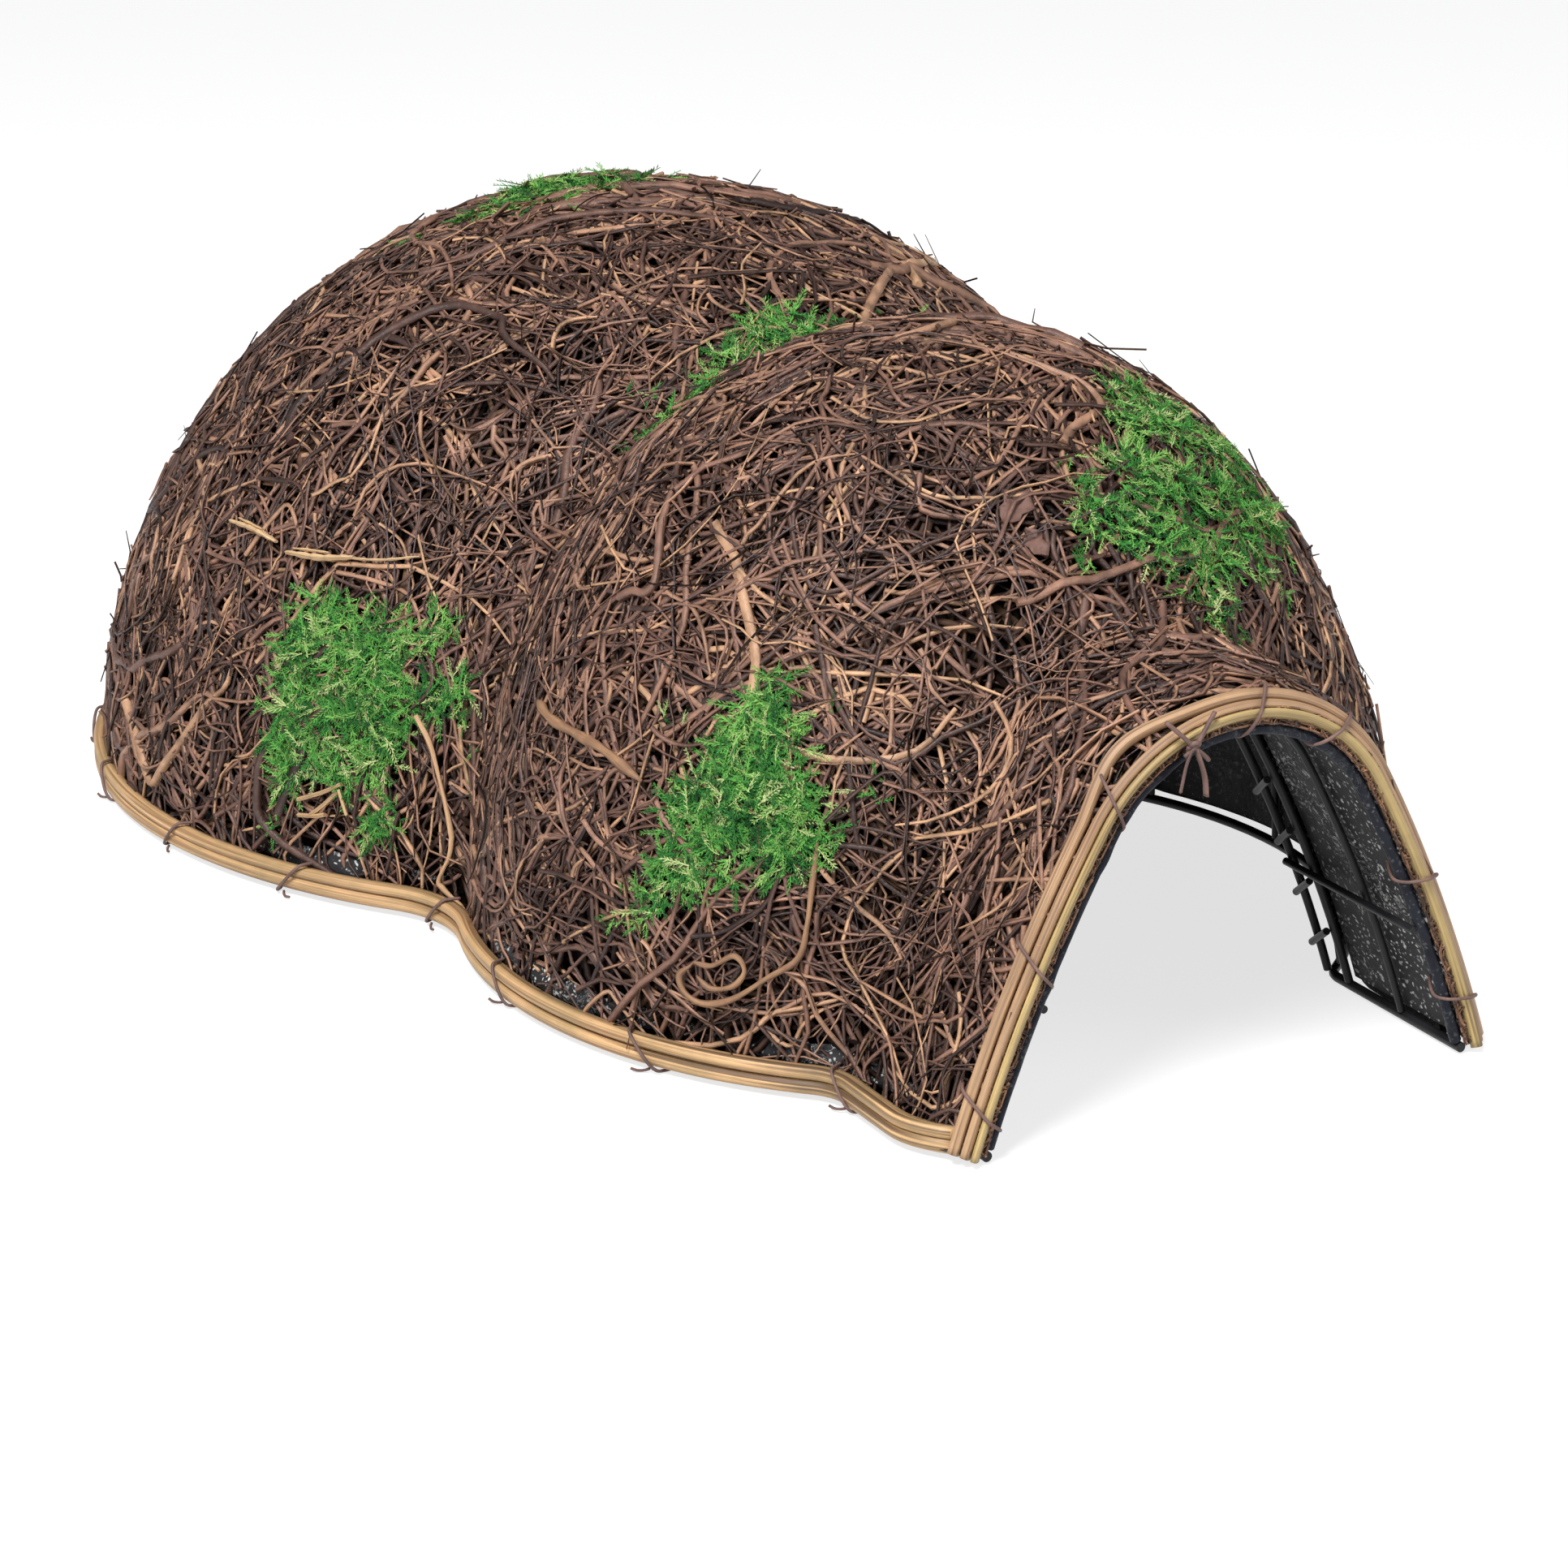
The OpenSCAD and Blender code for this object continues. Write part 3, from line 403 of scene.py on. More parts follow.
def open_tree(name, inputs, output):
    """A new node tree with its named inputs, given by kind, and its output; also returns the inputs."""
    tree = bpy.data.node_groups.new(name, "GeometryNodeTree")
    for kind, names in inputs.items():
        for socket in names:
            tree.interface.new_socket(socket, in_out="INPUT", socket_type="NodeSocket" + kind)
    tree.interface.new_socket(output, in_out="OUTPUT", socket_type="NodeSocketGeometry")
    return tree, put(tree, "NodeGroupInput").outputs


def close_tree(tree, geometry, spent, finish):
    """Removes spent attributes, sets the material and feeds the tree's output."""
    for name in spent:
        geometry = put(tree, "GeometryNodeRemoveAttribute", {"Geometry": geometry, "Name": name}).outputs[0]
    done = put(tree, "GeometryNodeSetMaterial", {"Geometry": geometry, "Material": finish})
    put(tree, "NodeGroupOutput", {0: done.outputs[0]})


def grown(piece, tree, **values):
    """Runs a node tree on a piece with named values and turns the result into a plain mesh."""
    laid = piece.modifiers.new("grown", "NODES")
    laid.node_group = tree
    for socket in tree.interface.items_tree:
        key = socket.name.replace(" ", "_").lower()
        if socket.in_out == "INPUT" and key in values:
            laid[socket.identifier] = values[key]
    return settle(piece)


def faced(tree, up, ahead):
    """A turn that stands Z along one direction and brings X as near as it can to another."""
    upright = put(tree, "FunctionNodeAlignRotationToVector", {"Vector": up}, axis="Z").outputs[0]
    return put(tree, "FunctionNodeAlignRotationToVector", {"Rotation": upright, "Vector": ahead},
               axis="X", pivot_axis="Z").outputs[0]


def strand_tree():
    """Scatters strands over a form: each is laid along the comb, bowed, pressed to the form and lifted."""
    inputs = {"Geometry": ["Form"],
              "Float": ("Density", "Length", "Length Spread", "Thickness", "Bow", "Wander", "Lift",
                        "Lift Spread", "Weave", "Flick", "Turn"),
              "Int": ("Seed", "Sides", "Points"), "Material": ["Finish"]}
    tree, given = open_tree("strand_mat", inputs, "Strands")
    seed, form = given["Seed"], given["Form"]

    def drawn(low, high, offset):
        return random_value(tree, low, high, seed, offset)

    def times(a, b):
        return maths(tree, "MULTIPLY", a, b)

    def add_times(a, b, c):
        return maths(tree, "MULTIPLY_ADD", a, b, c)

    density = times(given["Density"], named(tree, "cover"))
    spread = put(tree, "GeometryNodeDistributePointsOnFaces",
                 {"Mesh": form, "Density": density, "Seed": seed})
    combed = faced(tree, spread.outputs["Normal"], named(tree, "comb", "FLOAT_VECTOR"))
    angle = times(times(drawn(-1.0, 1.0, 1), named(tree, "stray")), given["Turn"])
    spin = put(tree, "FunctionNodeAxisAngleToRotation", {"Axis": (0, 0, 1), "Angle": angle}).outputs[0]
    turned = put(tree, "FunctionNodeRotateRotation", {"Rotation": combed, "Rotate By": spin},
                 rotation_space="LOCAL").outputs[0]
    side = put(tree, "FunctionNodeRotateVector", {"Vector": (0, 1, 0), "Rotation": turned}).outputs[0]
    length = add_times(drawn(-1.0, 1.0, 2), given["Length Spread"], given["Length"])
    bow = times(times(drawn(-1.0, 1.0, 3), given["Bow"]), length)
    laid = stored(tree, spread.outputs["Points"], "bow", vectors(tree, "SCALE", side, bow), "FLOAT_VECTOR")
    for name, value in (
            ("tone", drawn(0.0, 1.0, 4)),
            ("phase", drawn(0.0, 90.0, 5)),
            ("rise", add_times(drawn(-1.0, 1.0, 6), given["Lift Spread"], given["Lift"])),
            ("girth", times(drawn(0.55, 1.35, 7), given["Thickness"])),
            ("flick", times(maths(tree, "POWER", drawn(0.0, 1.0, 8), 3.0), given["Flick"]))):
        laid = stored(tree, laid, name, value)
    line = put(tree, "GeometryNodeCurvePrimitiveLine", {"Start": (-0.5, 0, 0), "End": (0.5, 0, 0)})
    line = put(tree, "GeometryNodeResampleCurve", {"Curve": line.outputs[0], "Count": given["Points"]})
    size = put(tree, "ShaderNodeCombineXYZ", {0: length, 1: 1.0, 2: 1.0}).outputs[0]
    strewn = put(tree, "GeometryNodeInstanceOnPoints", {"Points": laid, "Instance": line.outputs[0],
                                                        "Rotation": turned, "Scale": size})
    strewn = put(tree, "GeometryNodeRealizeInstances", {0: strewn.outputs[0]}).outputs[0]
    along = put(tree, "GeometryNodeSplineParameter").outputs["Factor"]
    here = put(tree, "GeometryNodeInputPosition").outputs[0]
    hump = maths(tree, "SUBTRACT", times(times(along, maths(tree, "SUBTRACT", 1.0, along)), 4.0), 0.66)
    drift = noise(tree, here, 21.0, 1.0, W=named(tree, "phase"))["Color"]
    strayed = vectors(tree, "SCALE", vectors(tree, "SUBTRACT", drift, (0.5, 0.5, 0.5)), given["Wander"])
    bowed = vectors(tree, "ADD", here, vectors(tree, "SCALE", named(tree, "bow", "FLOAT_VECTOR"), hump))
    bent = vectors(tree, "ADD", bowed, strayed)

    def on_form(value, kind="FLOAT_VECTOR"):
        return put(tree, "GeometryNodeSampleNearestSurface", {0: form, 1: value, "Sample Position": bent},
                   data_type=kind).outputs[0]

    ground = on_form(put(tree, "GeometryNodeInputPosition").outputs[0])
    outward = vectors(tree, "NORMALIZE", on_form(put(tree, "GeometryNodeInputNormal").outputs[0]))
    depth = on_form(named(tree, "depth"), "FLOAT")
    weave = noise(tree, ground, 55.0, 1.0, W=named(tree, "phase"))["Fac"]
    ends = maths(tree, "POWER", maths(tree, "ABSOLUTE", add_times(along, 2.0, -1.0)), 5.0)
    height = add_times(maths(tree, "SUBTRACT", weave, 0.5), given["Weave"], times(named(tree, "rise"), depth))
    height = add_times(ends, named(tree, "flick"), height)
    lifted = vectors(tree, "ADD", ground, vectors(tree, "SCALE", outward, height))
    pressed = put(tree, "GeometryNodeSetPosition", {"Geometry": strewn, "Position": lifted}).outputs[0]
    taper = maths(tree, "SUBTRACT", 1.0, times(maths(tree, "POWER", along, 3.0), 0.55))
    ring = put(tree, "GeometryNodeCurvePrimitiveCircle", {"Resolution": given["Sides"], "Radius": 1.0})
    thick = times(named(tree, "girth"), taper)
    tubes = put(tree, "GeometryNodeCurveToMesh", {"Curve": pressed, "Profile Curve": ring.outputs[0],
                                                  "Fill Caps": True, "Scale": thick})
    soft = put(tree, "GeometryNodeSetShadeSmooth", {0: tubes.outputs[0]}).outputs[0]
    close_tree(tree, soft, ("comb", "stray", "cover", "depth", "bow", "phase", "rise", "girth", "flick"),
               given["Finish"])
    return tree


STRAND_TREE = strand_tree()


def strew(name, form, finish, **sizes):
    """Lays strands over a form as a piece of its own."""
    return grown(linked(name, form.data.copy()), STRAND_TREE, finish=finish, **sizes)


def strand_finish(name, *stops, gloss=0.55, shine=0.5):
    made, tree = bare_material(name)
    here = object_place(tree)
    tone = put(tree, "ShaderNodeAttribute", attribute_name="tone").outputs["Fac"]
    colour = ramp(tree, tone, *stops)
    patch = remap(tree, noise(tree, here, 130, 3)["Fac"], 0.3, 0.7, 0.55, 1.45)
    bark = noise(tree, here, 900, 3, 0.7)["Fac"]
    shade = vectors(tree, "SCALE", colour, patch)
    shader(tree, bark, 0.0006, 0.6, Base_Color=shade, Specular_IOR_Level=shine,
           Roughness=remap(tree, bark, 0.3, 0.7, gloss - 0.12, gloss + 0.15))
    return made


def shaded(stops, share):
    return [(position, tuple(v * share for v in colour)) for position, colour in stops]


BROWNS = ((0.0, (0.022, 0.011, 0.009)), (0.28, (0.068, 0.035, 0.027)), (0.50, (0.135, 0.070, 0.051)),
          (0.73, (0.215, 0.114, 0.078)), (0.90, (0.310, 0.172, 0.106)), (1.0, (0.42, 0.25, 0.14)))
brushwood = strand_finish("brushwood", *BROWNS, gloss=0.44, shine=0.38)
# Darker copies of the brushwood colour, at 0.3 and 0.1, are painted shade: they go on the lower strand
# layers, the flyaway strands and the mat.
under_brushwood = strand_finish("under_brushwood", *shaded(BROWNS, 0.3), gloss=0.5, shine=0.15)
deep_brushwood = strand_finish("deep_brushwood", *shaded(BROWNS, 0.1), gloss=0.7, shine=0.05)


def seat(piece, slot, *nodes):
    """Fixes a finished piece to the house in place of the plain nodes it stands for; the slot is not used."""
    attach(piece, "root")
    if nodes:
        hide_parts(*nodes)


MAT_DEPTH, MAT_T, MAT_START = 0.0052, 0.0036, 0.012
mat = linked("thatch_mat", form.data.copy())
for vertex, normal in zip(mat.data.vertices, facing):
    vertex.co -= Vector(normal) * MAT_DEPTH
wall = mat.modifiers.new("wall", "SOLIDIFY")
wall.thickness = MAT_T
wall.offset = -1
settle(mat)
work = bmesh.new()
work.from_mesh(mat.data)
cut(work, (0, FRONT_Y + MAT_START, 0), (0, -1, 0))
bmesh.ops.holes_fill(work, edges=[e for e in work.edges if e.is_boundary])
work.to_mesh(mat.data)
work.free()
# The mat wears the darkest painted-shade copy of the strand colour.
mat.data.materials.append(deep_brushwood)
seat(mat, "thatch", "tunnel_thatch", "porch_thatch", "chamber_thatch")

ROOT = dict(length=0.072, length_spread=0.03, bow=0.46, wander=0.056, lift_spread=0.0010, weave=0.005,
            flick=0.0, turn=1.57, sides=4, points=8)
LAYERS = (
    # The two lowest layers wear the painted-shade copies of the brushwood colour.
    ("thatch_layer_1", deep_brushwood, dict(
        density=7800.0, thickness=0.00120, lift=-0.0050, seed=11)),
    ("thatch_layer_2", under_brushwood, dict(
        density=6200.0, thickness=0.00115, lift=-0.0036, seed=23)),
    ("thatch_layer_3", brushwood, dict(
        density=7000.0, points=11, thickness=0.00094, lift=-0.0020, flick=0.001, seed=37)),
    ("thatch_layer_4", brushwood, dict(
        density=7200.0, points=11, length=0.062, thickness=0.00082, bow=0.52, lift=-0.0005, flick=0.002,
        seed=53)),
    ("thatch_layer_5", brushwood, dict(
        density=7600.0, points=10, length=0.048, length_spread=0.02, thickness=0.00062, bow=0.56,
        wander=0.060, lift=0.0003, flick=0.002, sides=3, seed=67)),
    ("thatch_roots", brushwood, dict(
        density=330.0, points=20, length=0.085, thickness=0.00165, bow=0.40, wander=0.070, lift=0.0002,
        seed=83)),
    ("thatch_bits", brushwood, dict(
        density=1500.0, length=0.014, length_spread=0.008, thickness=0.00075, bow=0.3, wander=0.012,
        lift=0.0008, flick=0.003, sides=3, seed=97)),
    ("thatch_flyaway", under_brushwood, dict(
        density=700.0, length=0.040, length_spread=0.02, thickness=0.00038, bow=0.5, wander=0.05, lift=0.0014,
        weave=0.004, flick=0.007, sides=3, seed=71)),
)
for name, finish, sizes in LAYERS:
    seat(strew(name, form, finish, **dict(ROOT, **sizes)), "thatch")

THATCH = BVHTree.FromPolygons([v.co.copy() for v in form.data.vertices],
                              [tuple(p.vertices) for p in form.data.polygons])


def on_thatch(point, lift=0.0):
    """The nearest place on the thatch, lifted off it, and the direction out of it."""
    place, out = THATCH.find_nearest(Vector(point))[:2]
    return place + out * lift, out


# The tunnel's front edge: the cut ends of the thatch, pressed between the hoop and the canes.
# They show as a crumbly brown band, with the film folded back over the hoop inside it.
EDGE_ROWS = ((0.0034, -0.0002), (0.0082, 0.0008))
rows = [[Vector((x, FRONT_Y + deep, z)) for x, z, a in arch_line(ENTRANCE, offset, 0.003, 40)]
        for offset, deep in EDGE_ROWS]
edge = mesh_piece("thatch_edge_form", rows[0] + rows[1], ring_faces(2, len(rows[0]), False))
if edge.data.polygons[0].normal.y > 0:
    edge.data.flip_normals()
even = np.ones(len(edge.data.vertices))
hold(edge, comb=even[:, None] * (1.0, 0.0, 0.0), stray=even, cover=even, depth=even)
crumbs = strand_finish("thatch_crumbs", (0.0, (0.030, 0.015, 0.010)), (0.5, (0.115, 0.055, 0.030)),
                       (1.0, (0.30, 0.150, 0.075)))
CRUMB = dict(density=900000.0, length=0.0085, length_spread=0.004, thickness=0.00042, bow=0.5, wander=0.010,
             lift=0.0004, lift_spread=0.0006, weave=0.002, flick=0.001, turn=3.1, sides=3, points=8, seed=5)
seat(strew("thatch_edge", edge, crumbs, **CRUMB), "thatch")
bpy.data.objects.remove(edge)


def add_rings(bundle, rings):
    """Joins rings of points into a closed skin in the bundle, with a map along it and round it in metres."""
    points, faces, maps = bundle
    first, around = len(points), len(rings[0])
    along, round_it = [0.0], [0.0]
    for a, b in zip(rings, rings[1:]):
        along.append(along[-1] + (b[0] - a[0]).length)
    for k in range(around):
        round_it.append(round_it[-1] + (rings[0][(k + 1) % around] - rings[0][k]).length)
    for ring in rings:
        points.extend(ring)
    faces.extend(ring_faces(len(rings), around, first=first))
    for here, ahead in zip(along, along[1:]):
        for low, high in zip(round_it, round_it[1:]):
            maps.append(((here, low), (here, high), (ahead, high), (ahead, low)))
    faces.append(tuple(first + k for k in reversed(range(around))))
    faces.append(tuple(len(points) - around + k for k in range(around)))
    maps.extend([((0.0, 0.0),) * around] * 2)


def smooth_line(points, steps):
    """A smooth curve through the points."""
    points = [Vector(p) for p in points]
    padded = [points[0] * 2 - points[1]] + points + [points[-1] * 2 - points[-2]]
    line = []
    for a, b, c, d in zip(padded, padded[1:], padded[2:], padded[3:]):
        bend, twist = 2 * a - 5 * b + 4 * c - d, 3 * b - a - 3 * c + d
        for k in range(steps):
            t = k / steps
            line.append(0.5 * (2 * b + (c - a) * t + bend * t * t + twist * t ** 3))
    return line + [points[-1]]


def add_tube(bundle, line, radius, sides, flat=1.0, taper=None):
    """A round or flattened rod along a line; the taper tells its share of the radius on the way along."""
    up = Vector((0.3, 0.2, 0.93))
    rings = []
    for i, point in enumerate(line):
        ahead = (line[min(i + 1, len(line) - 1)] - line[max(i - 1, 0)]).normalized()
        up = (up - ahead * up.dot(ahead)).normalized()
        side = ahead.cross(up)
        size = radius * taper(i / (len(line) - 1)) if taper else radius
        rings.append([point + (side * math.cos(a) + up * math.sin(a) * flat) * size
                      for a in (2 * math.pi * k / sides for k in range(sides))])
    add_rings(bundle, rings)


def bundled(name, bundle, finish, smooth=True):
    points, faces, maps = bundle
    piece = mesh_piece(name, points, faces)
    layer = piece.data.uv_layers.new(name="run")
    layer.data.foreach_set("uv", [v for corners in maps for corner in corners for v in corner])
    for polygon in piece.data.polygons:
        polygon.use_smooth = smooth
    piece.data.materials.append(finish)
    return piece


def skinned(name, rings, finish):
    """A piece of one skin."""
    bundle = ([], [], [])
    add_rings(bundle, rings)
    return bundled(name, bundle, finish)


HOOP_MIDDLE, FOLD_R, FILM_T = 0.0014, 0.00146, 0.0002
rings = []
for x, z, a in arch_line(ENTRANCE, HOOP_MIDDLE, 0.004, 60):
    out = Vector((math.cos(a), 0, math.sin(a)))
    ring = []
    for turn in np.radians(np.linspace(232, -38, 10)):
        crumple = ripple.noise(Vector((x + math.cos(turn) * 0.004, turn * 0.004, z)) * 150) * 0.0005
        reach = FOLD_R + max(crumple, 0)
        front = Vector((x, FRONT_Y + HOOP_MIDDLE - reach * math.sin(turn), z))
        ring.append(front + out * reach * math.cos(turn))
    middle = Vector((x, FRONT_Y + HOOP_MIDDLE, z))
    rings.append(ring + [p + (p - middle).normalized() * FILM_T for p in reversed(ring)])
seat(skinned("film_fold", rings, folded_film), "film")


# The edging: two split canes round the foot and three bent over the tunnel's front edge.
# Their flat side lies on the thatch and the skin of the cane faces out.
DOME_SPACING = CHAMBER_Y - PORCH_Y
RIM_T, RIM_LIFT, LAYER_GAP = 0.0044, 0.0017, 0.0003
RIM_HEIGHTS = (0.0046, 0.0038)
CANE_GAP = 0.0002
RIM_WAIST, RIM_CORNER = 0.045, 0.020
RIM_START, TUCK_FROM, TUCK_IN = 0.006, 0.026, 0.0095


def plan_line(out):
    """Points and outward directions round the foot of the house at a distance outside the thatch."""
    chamber, porch = CHAMBER[0] + out, PORCH[0] + out
    leg = arch_line(ENTRANCE, HOOD_OUT, 0, 4)[-1][0] + out
    waist, corner = RIM_WAIST - out, RIM_CORNER - out
    front, rear = porch + waist, chamber + waist
    waist_y = (front * front - rear * rear + DOME_SPACING ** 2) / (2 * DOME_SPACING)
    waist_x = math.sqrt(front * front - waist_y * waist_y)
    corner_x = leg + corner
    corner_y = -math.sqrt((porch + corner) ** 2 - corner_x * corner_x)
    front_y = FRONT_Y - PORCH_Y
    right = []
    for y in np.linspace(front_y + RIM_START, corner_y, 14)[:-1]:
        tuck = TUCK_IN * max(0, (front_y + TUCK_FROM - y) / (TUCK_FROM - RIM_START)) ** 2
        right.append((leg - tuck, y, 1.0, 0.0))

    def turn(x, y, radius, first, last, steps, sign):
        for a in np.linspace(first, last, steps):
            c, s = math.cos(a), math.sin(a)
            right.append((x + radius * c, y + radius * s, sign * c, sign * s))

    turn(corner_x, corner_y, corner, math.pi, math.atan2(-corner_y, -corner_x), 8, -1)
    turn(0, 0, porch, math.atan2(corner_y, corner_x), math.atan2(waist_y, waist_x), 60, 1)
    turn(waist_x, waist_y, waist, 2 * math.pi + math.atan2(-waist_y, -waist_x),
         math.atan2(DOME_SPACING - waist_y, -waist_x), 14, -1)
    turn(0, DOME_SPACING, chamber, math.atan2(waist_y - DOME_SPACING, waist_x), math.pi / 2, 110, 1)
    whole = right + [(-x, y, -a, b) for x, y, a, b in reversed(right[:-1])]
    kept = [whole[0]]
    for row in whole[1:]:
        if math.hypot(row[0] - kept[-1][0], row[1] - kept[-1][1]) > 0.0005:
            kept.append(row)
    return [(Vector((x, y + PORCH_Y, 0)), Vector((a, b, 0))) for x, y, a, b in kept]


def cane_section(thick, wide, swell):
    """Points (out, across) of a split cane: a flat back with soft corners and a rounded skin."""
    half = wide / 2 * swell
    back = [(-thick / 2, half * 0.86), (-thick / 2, 0), (-thick / 2, -half * 0.86)]
    skin = [(thick * (-0.42 + 0.92 * math.cos(a) ** 0.32), half * math.sin(a))
            for a in np.linspace(-1.5, 1.5, 11)]
    return back + skin


def streaks(tree, scale, detail, roughness):
    """Noise drawn out along the run of a piece."""
    run = put(tree, "ShaderNodeUVMap", uv_map="run").outputs[0]
    drawn = put(tree, "ShaderNodeMapping", {"Vector": run, "Scale": scale}).outputs[0]
    return noise(tree, drawn, 1.0, detail, roughness)["Fac"]


def cane_finish(name, pale, deep, stained):
    """Split cane: fine fibres and darker veins along the run, weathered stains and a few open cracks."""
    made, tree = bare_material(name)
    fibre = streaks(tree, (11, 1500, 1), 4, 0.6)
    vein = streaks(tree, (7, 520, 1), 3, 0.6)
    split = streaks(tree, (4, 300, 1), 2, 0.5)
    stain = noise(tree, object_place(tree), 34, 4, 0.65)["Fac"]
    light = tuple(min(v * 1.2, 1) for v in pale)
    colour = ramp(tree, vein, (0.38, deep), (0.49, pale), (0.63, light))
    colour = blend(tree, remap(tree, stain, 0.42, 0.72, 0.0, 0.8), colour, (*stained, 1))
    colour = vectors(tree, "SCALE", colour, remap(tree, fibre, 0.34, 0.66, 0.66, 1.2))
    crack = remap(tree, split, 0.33, 0.38, 0.85, 0.0)
    colour = blend(tree, crack, colour, (0.075, 0.038, 0.020, 1))
    relief = maths(tree, "SUBTRACT", fibre, maths(tree, "MULTIPLY", crack, 1.2))
    shader(tree, relief, 0.0005, 0.55, Base_Color=colour, Roughness=remap(tree, fibre, 0.3, 0.7, 0.38, 0.6))
    return made


rim_cane = cane_finish("rim_split_cane", (0.49, 0.300, 0.145), (0.25, 0.135, 0.060), (0.27, 0.190, 0.085))
base_z = RIM_LIFT
for name, height, seed in (("rim_cane_lower", RIM_HEIGHTS[0], 3.0), ("rim_cane_upper", RIM_HEIGHTS[1], 7.0)):
    rings = []
    for spot, out in plan_line(LAYER_GAP + RIM_T / 2):
        swell = 1 + 0.10 * ripple.noise(spot * 14 + Vector((seed, 0, 0)))
        bob = 0.0005 * ripple.noise(spot * 9 + Vector((0, seed, 0)))
        centre = spot + Vector((0, 0, base_z + height / 2 + bob))
        section = cane_section(RIM_T * (0.94 + 0.06 * swell), height, swell)
        rings.append([centre + out * o + Vector((0, 0, c)) for o, c in section])
    seat(skinned(name + "_skin", rings, rim_cane), "split_cane", name)
    base_z += height + CANE_GAP

ARCH_T = 0.0036
STACK_LEAN = math.radians(50)
STACK_IN, STACK_FRONT = 0.0060, 0.0020
STACK_W = 0.0094


def stack_place(x, z, a, along):
    """A place on the slant that the arch canes lie on, the way up the slant and the way out of it."""
    out, rear = Vector((math.cos(a), 0, math.sin(a))), Vector((0, 1, 0))
    slope = out * math.cos(STACK_LEAN) + rear * math.sin(STACK_LEAN)
    skin = out * math.sin(STACK_LEAN) - rear * math.cos(STACK_LEAN)
    return Vector((x, FRONT_Y - STACK_FRONT, z)) + slope * along, slope, skin


arch_cane = cane_finish("arch_split_cane", (0.41, 0.250, 0.133), (0.185, 0.098, 0.052), (0.24, 0.145, 0.085))
pale_cane = cane_finish("arch_pale_cane", (0.42, 0.300, 0.122), (0.21, 0.135, 0.055), (0.29, 0.20, 0.085))
for name, start, wide, finish, stand_off, seed in (
        ("arch_cane_inner", 0.0, 0.0022, pale_cane, 0.0, 1.0),
        ("arch_cane_middle", 0.0024, 0.0032, arch_cane, 0.0, 4.0),
        ("arch_cane_outer", 0.0058, 0.0036, arch_cane, 0.0042, 8.0)):
    rings = []
    for x, z, a in arch_line(ENTRANCE, STACK_IN, RIM_LIFT, 44):
        swell = 1 + 0.09 * ripple.noise(Vector((x, seed, z)) * 16)
        bulge = stand_off * math.exp(-((math.degrees(a) - 128) / 15) ** 2)
        wobble = 0.0004 * ripple.noise(Vector((x, seed, z)) * 11)
        centre, slope, skin = stack_place(x, z, a, start + wide / 2 + bulge)
        rings.append([centre + skin * (o + wobble) - slope * c for o, c in cane_section(ARCH_T, wide, swell)])
    seat(skinned(name + "_skin", rings, finish), "split_cane", name)


# The ties: thin paper-covered wire wound slantwise round the canes and twisted off below or inside the arch.
# One knot under the arch's crown keeps two flat paper ends.
def scatter_tree():
    """Sets a copy of a shape on every point, stood along 'up', turned to 'heading' and sized by 'size'."""
    inputs = {"Geometry": ["Places"], "Object": ["Shape"], "Material": ["Finish"]}
    tree, given = open_tree("set_on_places", inputs, "Set")
    shape = put(tree, "GeometryNodeObjectInfo", {"Object": given["Shape"]}, transform_space="ORIGINAL")
    turned = faced(tree, named(tree, "up", "FLOAT_VECTOR"), named(tree, "heading", "FLOAT_VECTOR"))
    copies = put(tree, "GeometryNodeInstanceOnPoints", {
        "Points": given["Places"], "Instance": shape.outputs["Geometry"], "Rotation": turned,
        "Scale": named(tree, "size")}).outputs[0]
    whole = put(tree, "GeometryNodeRealizeInstances", {0: copies}).outputs[0]
    close_tree(tree, whole, ("up", "heading", "size"), given["Finish"])
    return tree


SCATTER_TREE = scatter_tree()


def set_on(name, places, shape, finish):
    """A piece made of one shape set on many places, each a point, an up, a heading, a size and a tone."""
    spots, ups, headings, sizes, tones = zip(*places)
    piece = mesh_piece(name, spots, [])
    hold(piece, up=[tuple(v) for v in ups], heading=[tuple(v) for v in headings], size=sizes, tone=tones)
    return grown(piece, SCATTER_TREE, shape=shape, finish=finish)


def mm(points, at=Vector()):
    """Points given in millimetres from a place."""
    return [at + Vector(p) / 1000 for p in points]


def rods(name, finish, *tubes, taper=None, smooth=True):
    """A piece of rods, each given by its line, radius, number of sides and flatness."""
    bundle = ([], [], [])
    for tube in tubes:
        add_tube(bundle, *tube, taper=taper)
    return bundled(name, bundle, finish, smooth)


def worn_finish(name, fine, coarse, dark, light, bump, rough):
    """Goes from dark to light over a coarse noise; a fine noise gives the bump and the roughness."""
    made, tree = bare_material(name)
    here = object_place(tree)
    relief = noise(tree, here, *fine)["Fac"]
    colour = ramp(tree, noise(tree, here, *coarse)["Fac"], dark, light)
    shader(tree, relief, *bump, Base_Color=colour, Roughness=remap(tree, relief, 0.3, 0.7, *rough))
    return made


paper_tie = worn_finish("paper_tie", (1400, 3, 0.6), (120, 3), (0.3, (0.075, 0.040, 0.034)),
                        (0.7, (0.185, 0.105, 0.085)), (0.0004, 0.5), (0.55, 0.75))
TIE_R = 0.00055
RIM_MID = RIM_LIFT + (sum(RIM_HEIGHTS) + CANE_GAP) / 2
RIM_LOOP = (
    (7.4, 5.4, -0.6), (6.2, 5.5, 2.2), (5.0, 5.2, 4.6), (2.8, 3.0, 5.5), (0, 0, 5.75), (-2.8, -3.0, 5.5),
    (-4.8, -4.9, 4.4), (-5.8, -5.4, 2.0), (-7.0, -5.3, -0.6),
)
RIM_TAIL = ((-2.2, -4.9, 4.2), (-1.2, -5.3, 5.4), (0.6, -5.4, 6.6), (2.6, -5.0, 7.2))
